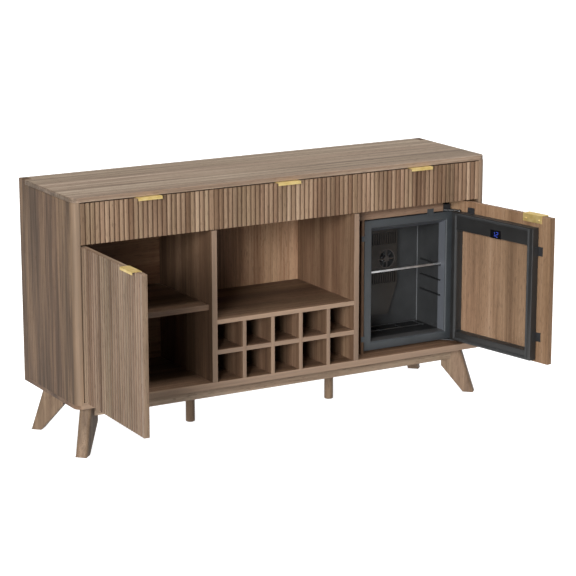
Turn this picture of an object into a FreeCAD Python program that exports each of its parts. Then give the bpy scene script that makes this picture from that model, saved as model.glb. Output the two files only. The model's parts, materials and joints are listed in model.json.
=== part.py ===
"""Wine bar cabinet: carcass, three drawers, a hinged door and a built-in wine fridge.

Units are mm. X runs to the right, Y to the back and Z up from the floor. The parts are
drawn with the cabinet's depth centred on Y = 0, doors closed, and are then turned to the
rest pose (doors open) and shifted so that the origin is the middle of the rest box.
"""
import FreeCAD, Part
import math
import os
from FreeCAD import Vector

os.makedirs("parts", exist_ok=True)

# Overall size
width = 1500.0
depth = 400.0
height = 815.0
leg_height = 157.5

# Board thicknesses
side_t = 25.0
top_t = 15.0
bottom_t = 21.0
bottom_lip_t = 13.0
divider_t = 18.0
deck_t = 15.0
front_t = 18.0
shelf_t = 18.0
niche_shelf_t = 14.0
upright_t = 12.7
back_t = 6.0
box_t = 12.0
box_bottom_t = 5.0
apron_t = 18.0

# Carcass layout
corner_r = 22.0
top_corner_r = 26.0
stile_d = 45.0
back_recess = 29.0
back_slots = 6
back_slot_w = 130.0
back_slot_h = 8.0
back_slot_step = 18.0
left_bay_share = 0.3069
centre_bay_share = 0.3469
left_shelf_share = 0.5056
rack_h = 187.5
rack_low_h = 89.5
rack_cells = 5
apron_h = 44.5
apron_inset = 60.0
shelf_pin_r = 2.5
shelf_pin_len = 20.0
shelf_pin_inset = 45.0

# Fronts, drawers and doors
drawer_gap = 3.0
drawer_h = 126.5
door_drop = 5.0
door_lift = 3.5
edge_gap = 1.5
panel_gap = 3.0
front_back_gap = 3.0
flute_pitch = 16.2
flute_w = 3.8
flute_depth = 3.0
pull_len = 82.0
pull_t = 2.0
pull_lip_h = 9.0
pull_back_h = 24.0
drawer_pull_reach = 18.0
door_pull_reach = 12.0
pull_end_gap = 40.0
deck_lift = 1.5
deck_setback = 22.0
box_side_gap = 13.0
box_rear_gap = 7.0
box_lift = 3.0
box_h = 80.0
box_groove = 5.0
box_floor_lift = 8.0
rail_h = 32.0
rail_t = 1.5
rail_depth = 10.0
rail_short = 14.0
rail_lift = 22.0
slide_clear = 0.3
slide_setback = 2.5

# Left door hinge
left_door_open = 91.0
hinge_pin_r = 2.0
hinge_eye_r = 4.5
hinge_notch_half = 6.0
tongue_h = 6.0
notch_h = 7.0
hinge_foot_t = 3.0
hinge_foot_h = 40.0
hinge_foot_len = 36.0
hinge_pin_len = 36.0
hinge_end_gap = 80.0

# Legs
foot_edge_gap_x = 29.0
foot_edge_gap_y = 30.6
leg_t = 39.0
foot_out = 18.0
foot_in = 18.0
leg_top_out = -32.5
leg_top_in = -94.5
leg_kink_share = 0.5587
leg_edge_r = 5.0
centre_leg_share = 0.34933
centre_leg_y = -7.0
centre_leg_r = 15.0
centre_leg_chamfer = 2.0

# Fridge
fridge_left_gap = 54.0
fridge_right_gap = 67.0
fridge_foot_h = 10.0
fridge_top_gap = 45.0
fridge_setback = 52.0
flange_t = 6.0
shell_inset = 3.0
shell_t = 2.0
shell_rear_gap = 15.0
shell_slots = 8
shell_slot_h = 6.0
shell_slot_step = 16.0
liner_t = 2.5
stile_w = 28.0
right_stile_w = 26.0
frame_top_rail = 28.0
frame_low_rail = 28.5
flare_drop = 21.0
flare_len = 50.0
foam_back_share = 0.2329
machine_depth = 58.0
rib_top_share = 0.6205
rib_pitch_share = 0.144
rib_h = 4.0
rib_w = 5.0
rib_rows = 3
rib_front_gap = 28.0
rib_rear_gap = 23.0
glass_t = 4.0
glass_front_gap = 36.0
glass_rear_gap = 5.0
trim_reach = 4.0
trim_len = 10.0
trim_t = 2.0
side_play = 1.0
cover_depth = 22.0
cover_t = 2.0
cover_right_share = 0.671
cover_top_share = 0.945
cover_bend_share = 0.41
cover_low_share = 0.55
cover_low_gap = 45.0
vent_slots = 11
vent_w = 4.0
vent_h_share = 0.114
vent_step = 9.0
vent_edge = 7.0
vent_high_share = 0.905
vent_low_share = 0.42
fan_x_share = 0.526
fan_z_share = 0.652
fan_hole_share = 0.09141
fan_tip_gap = 5.0
fan_hub_r = 10.0
fan_blades = 7
fan_t = 8.0
blade_t = 2.0
blade_twist = 40.0
fan_gap = 1.0
seat_bite = 1.0
motor_grow = 4.0
fan_shaft_r = 2.0
run_clear = 0.05
guard_t = 3.0
guard_bar = 4.0
grid_wire_r = 1.5
grid_lift = 0.3
grid_margin = 14.0
grid_overhang = 6.0
grid_front_share = 0.5814
grid_rear_gap = 6.0
grid_long = 2
grid_cross = 4
foot_r = 15.0
foot_edge_x = 40.0
foot_edge_y = 70.0
tab_t = 0.9
tab_bite = 8.0
tab_rise = 16.0
top_tab_share = 0.7377
top_tab_w = 25.0
side_tab_h = 18.0
low_tab_gap = 41.5
high_tab_gap = 58.5
filler_hinge_gap = 47.0
filler_lift = 4.0
liner_board_t = 10.0
liner_board_gap = 3.0
sink_w = 120.0
sink_h = 120.0
sink_base_t = 6.0
sink_fin_h = 32.0
sink_fin_t = 2.0
sink_fins = 11
cold_block = 40.0
control_w = 90.0
control_d = 40.0
control_h = 80.0
control_gap = 10.0

# Fridge door and its wood panel
fridge_door_open = 101.0
fridge_axis_gap = 60.0
fridge_axis_depth = 26.0
fridge_pin_r = 3.0
fridge_eye_r = 7.0
fridge_arm_t = 3.0
fridge_arm_gap = 2.0
door_overhang = 12.0
door_front_setback = 20.0
door_t = 28.0
door_z_gap = 2.0
door_free_stile = 17.0
door_hinge_stile = 25.0
door_top_rail = 60.0
door_bottom_rail = 33.0
door_glass_t = 4.0
door_glass_bite = 7.0
door_glass_setback = 10.0
gasket_w = 8.0
gasket_t = 3.0
gasket_inset = 14.0
gasket_hinge_inset = 15.0
gasket_low_inset = 4.0
gasket_top_inset = 3.0
display_gap = 163.0
display_w = 46.0
display_h = 27.0
display_drop = 45.0
display_t = 3.0
display_proud = 0.8
pin_bite = 12.0
hinge_pad_gap = 6.0
hinge_pad_w = 30.0
hinge_pad_front = 2.0
hinge_pad_len = 44.0
hinge_block_h = 16.0
bracket_t = 1.5
bracket_leaf = 18.0
bracket_w = 30.0
top_bracket_w = 30.0
low_bracket_gap = 76.5
high_bracket_gap = 78.0
top_bracket_gap = 63.0
panel_hinge_gap = 6.5

# Tolerance for picking edges
same = 0.01

# Carcass planes
front_y = -depth / 2
rear_y = depth / 2
half_w = width / 2
inner_x = half_w - side_t
top_under = height - top_t
floor_z = leg_height + bottom_t
lip_top = leg_height + bottom_lip_t
stile_y = rear_y - stile_d
back_y = rear_y - back_recess - back_t
left_bay_w = left_bay_share * 2 * inner_x
centre_bay_w = centre_bay_share * 2 * inner_x
left_div_x = -inner_x + left_bay_w
centre_x0 = left_div_x + divider_t
right_div_x = centre_x0 + centre_bay_w
right_x0 = right_div_x + divider_t
front_back_y = front_y + front_t
deck_y = front_y + deck_setback

# Levels of the drawers, doors and shelves
drawer_front_top = top_under - drawer_gap
drawer_front_bottom = drawer_front_top - drawer_h
door_top = drawer_front_bottom - door_drop
door_bottom = floor_z + door_lift
deck_bottom = drawer_front_bottom + deck_lift
box_bottom_z = deck_bottom + deck_t + box_lift
rail_z = box_bottom_z + rail_lift
box_depth = back_y - front_back_y - box_rear_gap
rail_len = box_depth - rail_short
left_shelf_top = floor_z + left_shelf_share * (deck_bottom - floor_z)
niche_shelf_top = floor_z + rack_h + niche_shelf_t
rack_shelf_top = floor_z + rack_low_h + niche_shelf_t

# Legs
foot_centre_x = half_w - foot_edge_gap_x
foot_centre_y = rear_y - foot_edge_gap_y
leg_kink_z = leg_kink_share * leg_height
centre_leg_x = centre_leg_share * half_w

# Left door
left_axis_x = -inner_x + edge_gap + front_t / 2
left_axis_y = front_y + front_t / 2
left_door_x1 = left_div_x - edge_gap

# Fridge body
fridge_left = right_x0 + fridge_left_gap
fridge_right = inner_x - fridge_right_gap
fridge_bottom = floor_z + fridge_foot_h
fridge_top = deck_bottom - fridge_top_gap
fridge_w = fridge_right - fridge_left
frame_y = front_y + fridge_setback
shell_x0 = fridge_left + shell_inset
shell_x1 = fridge_right - shell_inset
shell_z0 = fridge_bottom + shell_inset
shell_z1 = fridge_top - shell_inset
shell_y0 = frame_y + flange_t
shell_back = back_y - shell_rear_gap
insulation_back = shell_back - machine_depth
liner_back = insulation_back - foam_back_share * (shell_back - shell_y0)
cave_x0 = fridge_left + stile_w
cave_x1 = fridge_right - right_stile_w
cave_w = cave_x1 - cave_x0
opening_bottom = fridge_bottom + frame_low_rail
opening_top = fridge_top - frame_top_rail
ceiling_z = opening_top - flare_drop
cave_h = ceiling_z - opening_bottom

# Fridge inside
rib_top = opening_bottom + rib_top_share * cave_h
rib_pitch = rib_pitch_share * cave_h
rib_front = frame_y + rib_front_gap
rib_back = liner_back - rib_rear_gap
glass_front = frame_y + glass_front_gap
glass_back = liner_back - cover_depth - glass_rear_gap
cover_right = cave_x0 + cover_right_share * cave_w
cover_low_right = cave_x0 + cover_low_share * cave_w
cover_top = opening_bottom + cover_top_share * cave_h
cover_bend_z = opening_bottom + cover_bend_share * cave_h
cover_low_z = opening_bottom + cover_low_gap
vent_h = vent_h_share * cave_h
vent_high = opening_bottom + vent_high_share * cave_h
vent_low = opening_bottom + vent_low_share * cave_h
fan_x = cave_x0 + fan_x_share * cave_w
fan_z = opening_bottom + fan_z_share * cave_h
fan_hole_r = fan_hole_share * cave_h
fan_r = fan_hole_r - fan_tip_gap
grid_y0 = frame_y + grid_front_share * (liner_back - frame_y)
grid_y1 = liner_back - grid_rear_gap
top_tab_x = fridge_left + top_tab_share * fridge_w
side_tab_zs = (fridge_bottom + low_tab_gap, fridge_top - high_tab_gap)
filler_rail_bottom = fridge_top + filler_lift

# Fridge door
fridge_axis_x = inner_x - fridge_axis_gap
fridge_axis_y = front_y + fridge_axis_depth
filler_rail_end = fridge_axis_x - filler_hinge_gap
door_y0 = front_y + door_front_setback
door_y1 = door_y0 + door_t
door_z0 = fridge_bottom + door_z_gap
door_z1 = fridge_top + door_z_gap
door_x1 = fridge_axis_x + door_overhang
panel_left = right_x0 + panel_gap
panel_right = inner_x - panel_hinge_gap
display_x = fridge_left + display_gap
display_z = door_z1 - display_drop
hinge_pad_x1 = fridge_right - hinge_pad_gap
hinge_pad_x0 = hinge_pad_x1 - hinge_pad_w
hinge_pad_y0 = shell_y0 + hinge_pad_front
hinge_pad_y1 = hinge_pad_y0 + hinge_pad_len
side_bracket_zs = (door_z0 + low_bracket_gap, door_z1 - high_bracket_gap)
top_bracket_x = fridge_axis_x - top_bracket_gap

# Shift from the cabinet's middle to the middle of the rest box
left_door_reach = left_door_x1 - left_axis_x
rest_front = left_axis_y - left_door_reach * math.sin(math.radians(left_door_open))
rest_turn = math.radians(fridge_door_open)
pull_tip_x = panel_left + pull_end_gap - fridge_axis_x
pull_tip_y = front_y - door_pull_reach - fridge_axis_y
rest_right = fridge_axis_x + pull_tip_x * math.cos(rest_turn) - pull_tip_y * math.sin(rest_turn)
rest_shift_x = (half_w - rest_right) / 2
rest_shift_y = -(rest_front + rear_y) / 2


def block(x0, x1, y0, y1, z0, z1):
    """Box between two corners."""
    return Part.makeBox(x1 - x0, y1 - y0, z1 - z0, Vector(x0, y0, z0))


def rod(x, y, z, r, length, axis):
    """Cylinder of radius r from a point along an axis."""
    return Part.makeCylinder(r, length, Vector(x, y, z), axis)


def prism(points, vector):
    """Flat polygon pushed along a vector."""
    wire = Part.makePolygon(points + [points[0]])
    return Part.Face(wire).extrude(vector)


def plan(points, z0, z1):
    """Polygon in plan between two heights."""
    flat = [Vector(x, y, z0) for x, y in points]
    return prism(flat, Vector(0, 0, z1 - z0))


def joined(shapes):
    """Fuse shapes to one solid with the seams taken out."""
    whole = shapes[0]
    for piece in shapes[1:]:
        whole = whole.fuse(piece)
    return whole.removeSplitter()


def carved(shape, cutters):
    """Cut a list of shapes out of one shape."""
    for cutter in cutters:
        shape = shape.cut(cutter)
    return shape


def round_vertical(shape, corners, radius):
    """Round the upright edges that stand at the given plan corners."""
    picked = []
    for edge in shape.Edges:
        a = edge.Vertexes[0].Point
        b = edge.Vertexes[-1].Point
        upright = abs(a.x - b.x) < same and abs(a.y - b.y) < same
        for x, y in corners:
            if upright and abs(a.x - x) < same and abs(a.y - y) < same:
                picked.append(edge)
    return shape.makeFillet(radius, picked)


def save(name, solids, turn=None):
    """Turn to the rest pose, shift to the shared frame and write one node."""
    shape = solids[0] if len(solids) == 1 else Part.makeCompound(solids)
    if turn:
        x, y, angle = turn
        shape.rotate(Vector(x, y, 0), Vector(0, 0, 1), angle)
    shape.translate(Vector(rest_shift_x, rest_shift_y, 0))
    shape.exportStep("parts/" + name + ".step")


def stepped_plate(z0, z1, radius):
    """Full plate with rounded front corners and rear notches for the stiles."""
    outline = [
        (-half_w, front_y),
        (half_w, front_y),
        (half_w, stile_y),
        (inner_x, stile_y),
        (inner_x, rear_y),
        (-inner_x, rear_y),
        (-inner_x, stile_y),
        (-half_w, stile_y),
    ]
    plate = plan(outline, z0, z1)
    return round_vertical(plate, [(-half_w, front_y), (half_w, front_y)], radius)


def bottom_panel():
    """Bottom panel: a full lip under the sides and a step up between them."""
    lip = stepped_plate(leg_height, lip_top, top_corner_r)
    step = block(-inner_x, inner_x, front_y, back_y + back_t, leg_height, floor_z)
    return joined([lip, step])


def pin_holes(x, direction):
    """Blind holes for the shelf pins in the wall at x."""
    holes = []
    for y in shelf_pin_ys():
        z = left_shelf_top - shelf_t - shelf_pin_r
        start = x - direction * shelf_pin_len / 2
        axis = Vector(direction, 0, 0)
        holes.append(rod(start, y, z, shelf_pin_r + run_clear, shelf_pin_len / 2, axis))
    return holes


def shelf_pin_ys():
    """Front and rear rows of the shelf pins."""
    return [deck_y + shelf_pin_inset, back_y - shelf_pin_inset]


def side_panel(sign):
    """One outer side with a rounded front corner."""
    x0, x1 = sorted([sign * half_w, sign * inner_x])
    board = block(x0, x1, front_y, stile_y, lip_top, top_under)
    board = round_vertical(board, [(sign * half_w, front_y)], corner_r)
    if sign < 0:
        board = carved(board, pin_holes(-inner_x, 1))
    return board


def rear_stiles():
    """Two full height posts at the rear corners."""
    left = block(-half_w, -inner_x, stile_y, rear_y, leg_height, height)
    right = block(inner_x, half_w, stile_y, rear_y, leg_height, height)
    return [left, right]


def divider(x0):
    """Upright between two bays, set back behind the drawer fronts."""
    board = block(x0, x0 + divider_t, front_y, back_y, floor_z, top_under)
    notch_z = drawer_front_bottom - front_back_gap
    notch_y = front_back_y + front_back_gap
    board = board.cut(block(x0, x0 + divider_t, front_y, notch_y, notch_z, top_under))
    if x0 == left_div_x:
        board = carved(board, pin_holes(left_div_x, -1))
    return board


def back_panel():
    """Thin back with a row of vent slots behind the fridge."""
    board = block(-inner_x, inner_x, back_y, back_y + back_t, floor_z, top_under)
    middle = (shell_x0 + shell_x1) / 2
    x0 = middle - back_slot_w / 2
    x1 = middle + back_slot_w / 2
    slots = []
    for i in range(back_slots):
        z = opening_bottom + back_slot_step * (i + 1)
        slots.append(block(x0, x1, back_y, back_y + back_t, z, z + back_slot_h))
    return carved(board, slots)


def bays():
    """Left and right inner faces of the three bays."""
    return [(-inner_x, left_div_x), (centre_x0, right_div_x), (right_x0, inner_x)]


def drawer_decks():
    """One board under each drawer."""
    return [block(a, b, deck_y, back_y, deck_bottom, deck_bottom + deck_t) for a, b in bays()]


def apron():
    """Rail between the front legs, mitred to their faces."""
    y0 = front_y + apron_inset
    y1 = y0 + apron_t
    reach = leg_face_sum()
    outline = [(-reach + y0, y0), (reach - y0, y0), (reach - y1, y1), (-reach + y1, y1)]
    return plan(outline, leg_height - apron_h, leg_height)


def leg_face_sum():
    """Value of x + y on the inner face of the front right leg."""
    return foot_centre_x - foot_centre_y - leg_t / 2 * math.sqrt(2)


def corner_leg(sign_x, sign_y):
    """Tapered wedge leg in the diagonal plane of its corner."""
    profile = [
        (foot_out, 0),
        (leg_top_out, leg_height),
        (leg_top_in, leg_height),
        (leg_top_in, leg_kink_z),
        (-foot_in, 0),
    ]
    points = [Vector(s, -leg_t / 2, z) for s, z in profile]
    leg = prism(points, Vector(0, leg_t, 0))
    long_edges = []
    for edge in leg.Edges:
        a = edge.Vertexes[0].Point
        b = edge.Vertexes[-1].Point
        if abs(a.z - b.z) > same and abs(a.y - b.y) < same:
            long_edges.append(edge)
    leg = leg.makeFillet(leg_edge_r, long_edges)
    angle = math.degrees(math.atan2(sign_y, sign_x))
    leg.rotate(Vector(0, 0, 0), Vector(0, 0, 1), angle)
    leg.translate(Vector(sign_x * foot_centre_x, sign_y * foot_centre_y, 0))
    return leg


def centre_leg(x):
    """Straight round leg with a small chamfer at the foot."""
    r = centre_leg_r
    shaft_len = leg_height - centre_leg_chamfer
    shaft = rod(x, centre_leg_y, centre_leg_chamfer, r, shaft_len, Vector(0, 0, 1))
    tip = Part.makeCone(r - centre_leg_chamfer, r, centre_leg_chamfer, Vector(x, centre_leg_y, 0))
    return joined([tip, shaft])


def left_shelf():
    """Loose shelf of the left bay, resting on pins."""
    z0 = left_shelf_top - shelf_t
    return block(
        -inner_x + side_play, left_div_x - side_play, deck_y, back_y - side_play, z0, left_shelf_top
    )


def shelf_pins():
    """Four pins half in the wall and half under the shelf."""
    pins = []
    z = left_shelf_top - shelf_t - shelf_pin_r
    for y in shelf_pin_ys():
        start = -inner_x - shelf_pin_len / 2
        pins.append(rod(start, y, z, shelf_pin_r, shelf_pin_len, Vector(1, 0, 0)))
        start = left_div_x + shelf_pin_len / 2
        pins.append(rod(start, y, z, shelf_pin_r, shelf_pin_len, Vector(-1, 0, 0)))
    return pins


def upright_xs():
    """Left faces of the rack uprights."""
    cell = (centre_bay_w - (rack_cells - 1) * upright_t) / rack_cells
    return [centre_x0 + cell * (i + 1) + upright_t * i for i in range(rack_cells - 1)]


def niche_shelf():
    """Fixed shelf between the niche and the rack."""
    z0 = niche_shelf_top - niche_shelf_t
    return block(centre_x0, right_div_x, front_y, back_y, z0, niche_shelf_top)


def rack_shelf():
    """Middle shelf of the rack, slotted from the front for the uprights."""
    z0 = rack_shelf_top - niche_shelf_t
    board = block(centre_x0, right_div_x, front_y, back_y, z0, rack_shelf_top)
    middle = (front_y + back_y) / 2
    return carved(
        board,
        [block(x, x + upright_t, front_y, middle, z0, rack_shelf_top) for x in upright_xs()],
    )


def rack_uprights():
    """Uprights, slotted from the rear for the rack shelf."""
    z0 = rack_shelf_top - niche_shelf_t
    top = niche_shelf_top - niche_shelf_t
    middle = (front_y + back_y) / 2
    made = []
    for x in upright_xs():
        board = block(x, x + upright_t, front_y, back_y, floor_z, top)
        made.append(board.cut(block(x, x + upright_t, middle, back_y, z0, rack_shelf_top)))
    return made


def fluted(x0, x1, flute_x0, flute_x1, z0, z1):
    """Board with upright grooves in its front face between two x values."""
    count = int(round((flute_x1 - flute_x0) / flute_pitch))
    pitch = (flute_x1 - flute_x0) / count
    outline = [(x1, front_back_y), (x0, front_back_y), (x0, front_y)]
    for i in range(1, count):
        mid = flute_x0 + pitch * i
        a = mid - flute_w / 2
        b = mid + flute_w / 2
        y = front_y + flute_depth
        outline += [(a, front_y), (a, y), (b, y), (b, front_y)]
    outline.append((x1, front_y))
    return plan(outline, z0, z1)


def pull(centre, top, reach):
    """Bent strip over the top edge of a front: back leaf, top and front lip."""
    x0 = centre - pull_len / 2
    x1 = centre + pull_len / 2
    back = front_back_y + pull_t
    tip = front_y - reach
    outline = [
        (front_back_y, top - pull_back_h),
        (back, top - pull_back_h),
        (back, top + pull_t),
        (tip, top + pull_t),
        (tip, top + pull_t - pull_lip_h),
        (tip + pull_t, top + pull_t - pull_lip_h),
        (tip + pull_t, top),
        (front_back_y, top),
    ]
    return prism([Vector(x0, y, z) for y, z in outline], Vector(x1 - x0, 0, 0))


def drawer_fronts():
    """Left and right ends of the three drawer fronts."""
    left_mid = left_div_x + divider_t / 2
    right_mid = right_div_x + divider_t / 2
    return [
        (-inner_x + edge_gap, left_mid - edge_gap),
        (left_mid + edge_gap, right_mid - edge_gap),
        (right_mid + edge_gap, inner_x - edge_gap),
    ]


def drawer_box(bay):
    """Five boards: two sides, front, back and a bottom in grooves."""
    x0 = bay[0] + box_side_gap
    x1 = bay[1] - box_side_gap
    y0 = front_back_y
    y1 = y0 + box_depth
    z0 = box_bottom_z
    z1 = z0 + box_h
    groove_z = z0 + box_floor_lift
    inset = box_t - box_groove
    floor = block(
        x0 + inset, x1 - inset, y0 + inset, y1 - inset, groove_z, groove_z + box_bottom_t
    )
    boards = [
        block(x0, x0 + box_t, y0, y1, z0, z1),
        block(x1 - box_t, x1, y0, y1, z0, z1),
        block(x0 + box_t, x1 - box_t, y0, y0 + box_t, z0, z1),
        block(x0 + box_t, x1 - box_t, y1 - box_t, y1, z0, z1),
    ]
    return [board.cut(floor) for board in boards] + [floor]


def drawer_slides(bay):
    """Two bars on the box sides that run in the fixed rails."""
    y0 = deck_y + slide_setback
    z0 = rail_z + rail_t + slide_clear
    z1 = rail_z + rail_h - rail_t - slide_clear
    left = block(bay[0] + slide_setback, bay[0] + box_side_gap, y0, y0 + rail_len, z0, z1)
    right = block(bay[1] - box_side_gap, bay[1] - slide_setback, y0, y0 + rail_len, z0, z1)
    return [left, right]


def rail(wall_x, sign):
    """Channel on a bay wall, open towards the drawer."""
    y0 = deck_y + slide_setback
    x0, x1 = sorted([wall_x, wall_x + sign * rail_depth])
    body = block(x0, x1, y0, y0 + rail_len, rail_z, rail_z + rail_h)
    x0, x1 = sorted([wall_x + sign * rail_t, wall_x + sign * rail_depth])
    return body.cut(
        block(x0, x1, y0, y0 + rail_len, rail_z + rail_t, rail_z + rail_h - rail_t)
    )


def drawer_rails():
    """Six fixed rails."""
    made = []
    for a, b in bays():
        made += [rail(a, 1), rail(b, -1)]
    return made


def left_hinge_zs():
    """Middle heights of the two left door hinges."""
    return [door_bottom + hinge_end_gap, door_top - hinge_end_gap]


def left_door():
    """Fluted door with a round hinge edge, notched and bored for the hinges."""
    flute_x0 = left_axis_x - front_t / 2
    board = fluted(left_axis_x, left_door_x1, flute_x0, left_door_x1, door_bottom, door_top)
    edge = rod(
        left_axis_x, left_axis_y, door_bottom, front_t / 2, door_top - door_bottom, Vector(0, 0, 1)
    )
    door = joined([board, edge])
    cutters = []
    for z in left_hinge_zs():
        z0 = z - notch_h / 2
        z1 = z + notch_h / 2
        half = hinge_notch_half
        cutters.append(
            block(
                left_axis_x - front_t, left_axis_x + half, left_axis_y - half, front_back_y, z0, z1
            )
        )
        low = z - hinge_pin_len / 2
        cutters.append(
            rod(
                left_axis_x, left_axis_y, low, hinge_pin_r + run_clear, hinge_pin_len, Vector(0, 0, 1)
            )
        )
    return carved(door, cutters)


def left_hinge_bracket(z):
    """Foot on the side panel and a tongue to the door's pin."""
    z0 = z - tongue_h / 2
    z1 = z + tongue_h / 2
    foot_y = front_back_y + hinge_notch_half
    eye = rod(left_axis_x, left_axis_y, z0, hinge_eye_r, tongue_h, Vector(0, 0, 1))
    neck = block(
        left_axis_x - hinge_eye_r,
        left_axis_x + hinge_eye_r,
        left_axis_y,
        foot_y + hinge_foot_t,
        z0,
        z1,
    )
    arm = block(-inner_x, left_axis_x + hinge_eye_r, foot_y, foot_y + 2 * hinge_foot_t, z0, z1)
    foot = block(
        -inner_x,
        -inner_x + hinge_foot_t,
        foot_y,
        foot_y + hinge_foot_len,
        z - hinge_foot_h / 2,
        z + hinge_foot_h / 2,
    )
    bracket = joined([eye, neck, arm, foot])
    return bracket.cut(
        rod(left_axis_x, left_axis_y, z0, hinge_pin_r + run_clear, tongue_h, Vector(0, 0, 1))
    )


def hinge_pins():
    """Two pins of the left door and two of the fridge door."""
    pins = []
    for z in left_hinge_zs():
        low = z - hinge_pin_len / 2 + run_clear
        length = hinge_pin_len - 2 * run_clear
        pins.append(rod(left_axis_x, left_axis_y, low, hinge_pin_r, length, Vector(0, 0, 1)))
    arm_top = door_z1 + fridge_arm_gap + fridge_arm_t
    length = arm_top - door_z1 + pin_bite - run_clear
    axis = Vector(0, 0, -1)
    pins.append(rod(fridge_axis_x, fridge_axis_y, arm_top, fridge_pin_r, length, axis))
    arm_low = door_z0 - fridge_arm_gap - fridge_arm_t
    axis = Vector(0, 0, 1)
    pins.append(rod(fridge_axis_x, fridge_axis_y, arm_low, fridge_pin_r, length, axis))
    return pins


def cave_profile(grow, y1):
    """Side view outline of the fridge space, grown outwards, as Y and Z pairs."""
    flare_y = frame_y + flare_len
    return [
        (shell_y0, opening_bottom - grow),
        (y1, opening_bottom - grow),
        (y1, ceiling_z + grow),
        (flare_y, ceiling_z + grow),
        (shell_y0, opening_top + grow),
    ]


def cave(grow, y1):
    """Solid of the fridge space, grown outwards by the liner's wall."""
    points = [Vector(cave_x0 - grow, y, z) for y, z in cave_profile(grow, y1)]
    return prism(points, Vector(cave_x1 - cave_x0 + 2 * grow, 0, 0))


def fridge_liner():
    """Inner wall of the fridge with three shelf ribs on each side."""
    body = cave(liner_t, liner_back + liner_t).cut(cave(0, liner_back))
    ribs = []
    for i in range(rib_rows):
        z = rib_top - i * rib_pitch
        ribs.append(block(cave_x0 - seat_bite, cave_x0 + rib_w, rib_front, rib_back, z - rib_h, z))
        ribs.append(block(cave_x1 - rib_w, cave_x1 + seat_bite, rib_front, rib_back, z - rib_h, z))
    return joined([body] + ribs)


def cold_box(y0, y1):
    """Cold block of the cooling module between two depths."""
    half = cold_block / 2
    middle = (shell_x0 + shell_x1) / 2
    return block(middle - half, middle + half, y0, y1, fan_z - half, fan_z + half)


def fridge_insulation():
    """Foam between the shell and the liner."""
    t = shell_t
    foam = block(
        shell_x0 + t, shell_x1 - t, shell_y0, insulation_back, shell_z0 + t, shell_z1 - t
    )
    foam = foam.cut(cave(liner_t, liner_back + liner_t))
    return foam.cut(cold_box(liner_back + liner_t, insulation_back))


def fridge_shell():
    """Sheet box, open at the front, with vent slots in the back."""
    t = shell_t
    box = block(shell_x0, shell_x1, shell_y0, shell_back, shell_z0, shell_z1)
    box = box.cut(
        block(shell_x0 + t, shell_x1 - t, shell_y0, shell_back - t, shell_z0 + t, shell_z1 - t)
    )
    middle = (shell_x0 + shell_x1) / 2
    x0 = middle - sink_w / 2
    x1 = middle + sink_w / 2
    slots = []
    for i in range(shell_slots):
        z = fan_z - sink_h / 2 + shell_slot_step * i
        slots.append(block(x0, x1, shell_back - t, shell_back, z, z + shell_slot_h))
    return carved(box, slots)


def fridge_frame():
    """Front flange of the fridge around the opening."""
    plate = block(fridge_left, fridge_right, frame_y, shell_y0, fridge_bottom, fridge_top)
    return plate.cut(
        block(cave_x0, cave_x1, frame_y, shell_y0, opening_bottom, opening_top)
    )


def evaporator_cover():
    """Tray over the back wall with a fan hole and two groups of vent slots."""
    y0 = liner_back - cover_depth
    x0 = cave_x0 + side_play
    outline = [
        (x0, cover_top),
        (cover_right, cover_top),
        (cover_right, cover_bend_z),
        (cover_low_right, cover_low_z),
        (x0, cover_low_z),
    ]
    t = cover_t
    inner = [
        (x0 + t, cover_top - t),
        (cover_right - t, cover_top - t),
        (cover_right - t, cover_bend_z),
        (cover_low_right - t, cover_low_z + t),
        (x0 + t, cover_low_z + t),
    ]
    body = prism([Vector(x, y0, z) for x, z in outline], Vector(0, cover_depth, 0))
    hollow = prism([Vector(x, y0 + t, z) for x, z in inner], Vector(0, cover_depth - t, 0))
    cutters = [hollow]
    cutters.append(rod(fan_x, y0, fan_z, fan_hole_r, t, Vector(0, 1, 0)))
    for i in range(vent_slots):
        x1 = cover_right - vent_edge - vent_step * i
        x0 = x1 - vent_w
        cutters.append(block(x0, x1, y0, y0 + t, vent_high - vent_h, vent_high))
        cutters.append(block(x0, x1, y0, y0 + t, vent_low, vent_low + vent_h))
    return carved(body, cutters)


def fan_guard():
    """Ring and cross in front of the fan, seated in the cover's hole."""
    y0 = liner_back - cover_depth
    r = fan_hole_r - run_clear
    ring = rod(fan_x, y0, fan_z, r, guard_t, Vector(0, 1, 0))
    ring = ring.cut(rod(fan_x, y0, fan_z, r - guard_t, guard_t, Vector(0, 1, 0)))
    half = guard_bar / 2
    reach = r - seat_bite
    y1 = y0 + guard_t
    across = block(fan_x - reach, fan_x + reach, y0, y1, fan_z - half, fan_z + half)
    up = block(fan_x - half, fan_x + half, y0, y1, fan_z - reach, fan_z + reach)
    hub = rod(fan_x, y0, fan_z, fan_hub_r, guard_t, Vector(0, 1, 0))
    return joined([ring, across, up, hub])


def fan_rotor():
    """Hub with flat twisted blades, bored for the motor shaft."""
    y0 = liner_back - cover_depth + guard_t + fan_gap
    hub = rod(fan_x, y0, fan_z, fan_hub_r, fan_t, Vector(0, 1, 0))
    blades = []
    for i in range(fan_blades):
        half = blade_t / 2
        z0 = fan_z + fan_hub_r - seat_bite
        blade = block(fan_x - half, fan_x + half, y0 + fan_gap, y0 + fan_t - fan_gap, z0, fan_z + fan_r)
        mid = Vector(fan_x, y0 + fan_t / 2, fan_z)
        blade.rotate(mid, Vector(0, 0, 1), blade_twist)
        blade.rotate(mid, Vector(0, 1, 0), 360.0 / fan_blades * i)
        blades.append(blade)
    rotor = joined([hub] + blades)
    bore = rod(fan_x, y0, fan_z, fan_shaft_r + run_clear, fan_t, Vector(0, 1, 0))
    return rotor.cut(bore)


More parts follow.
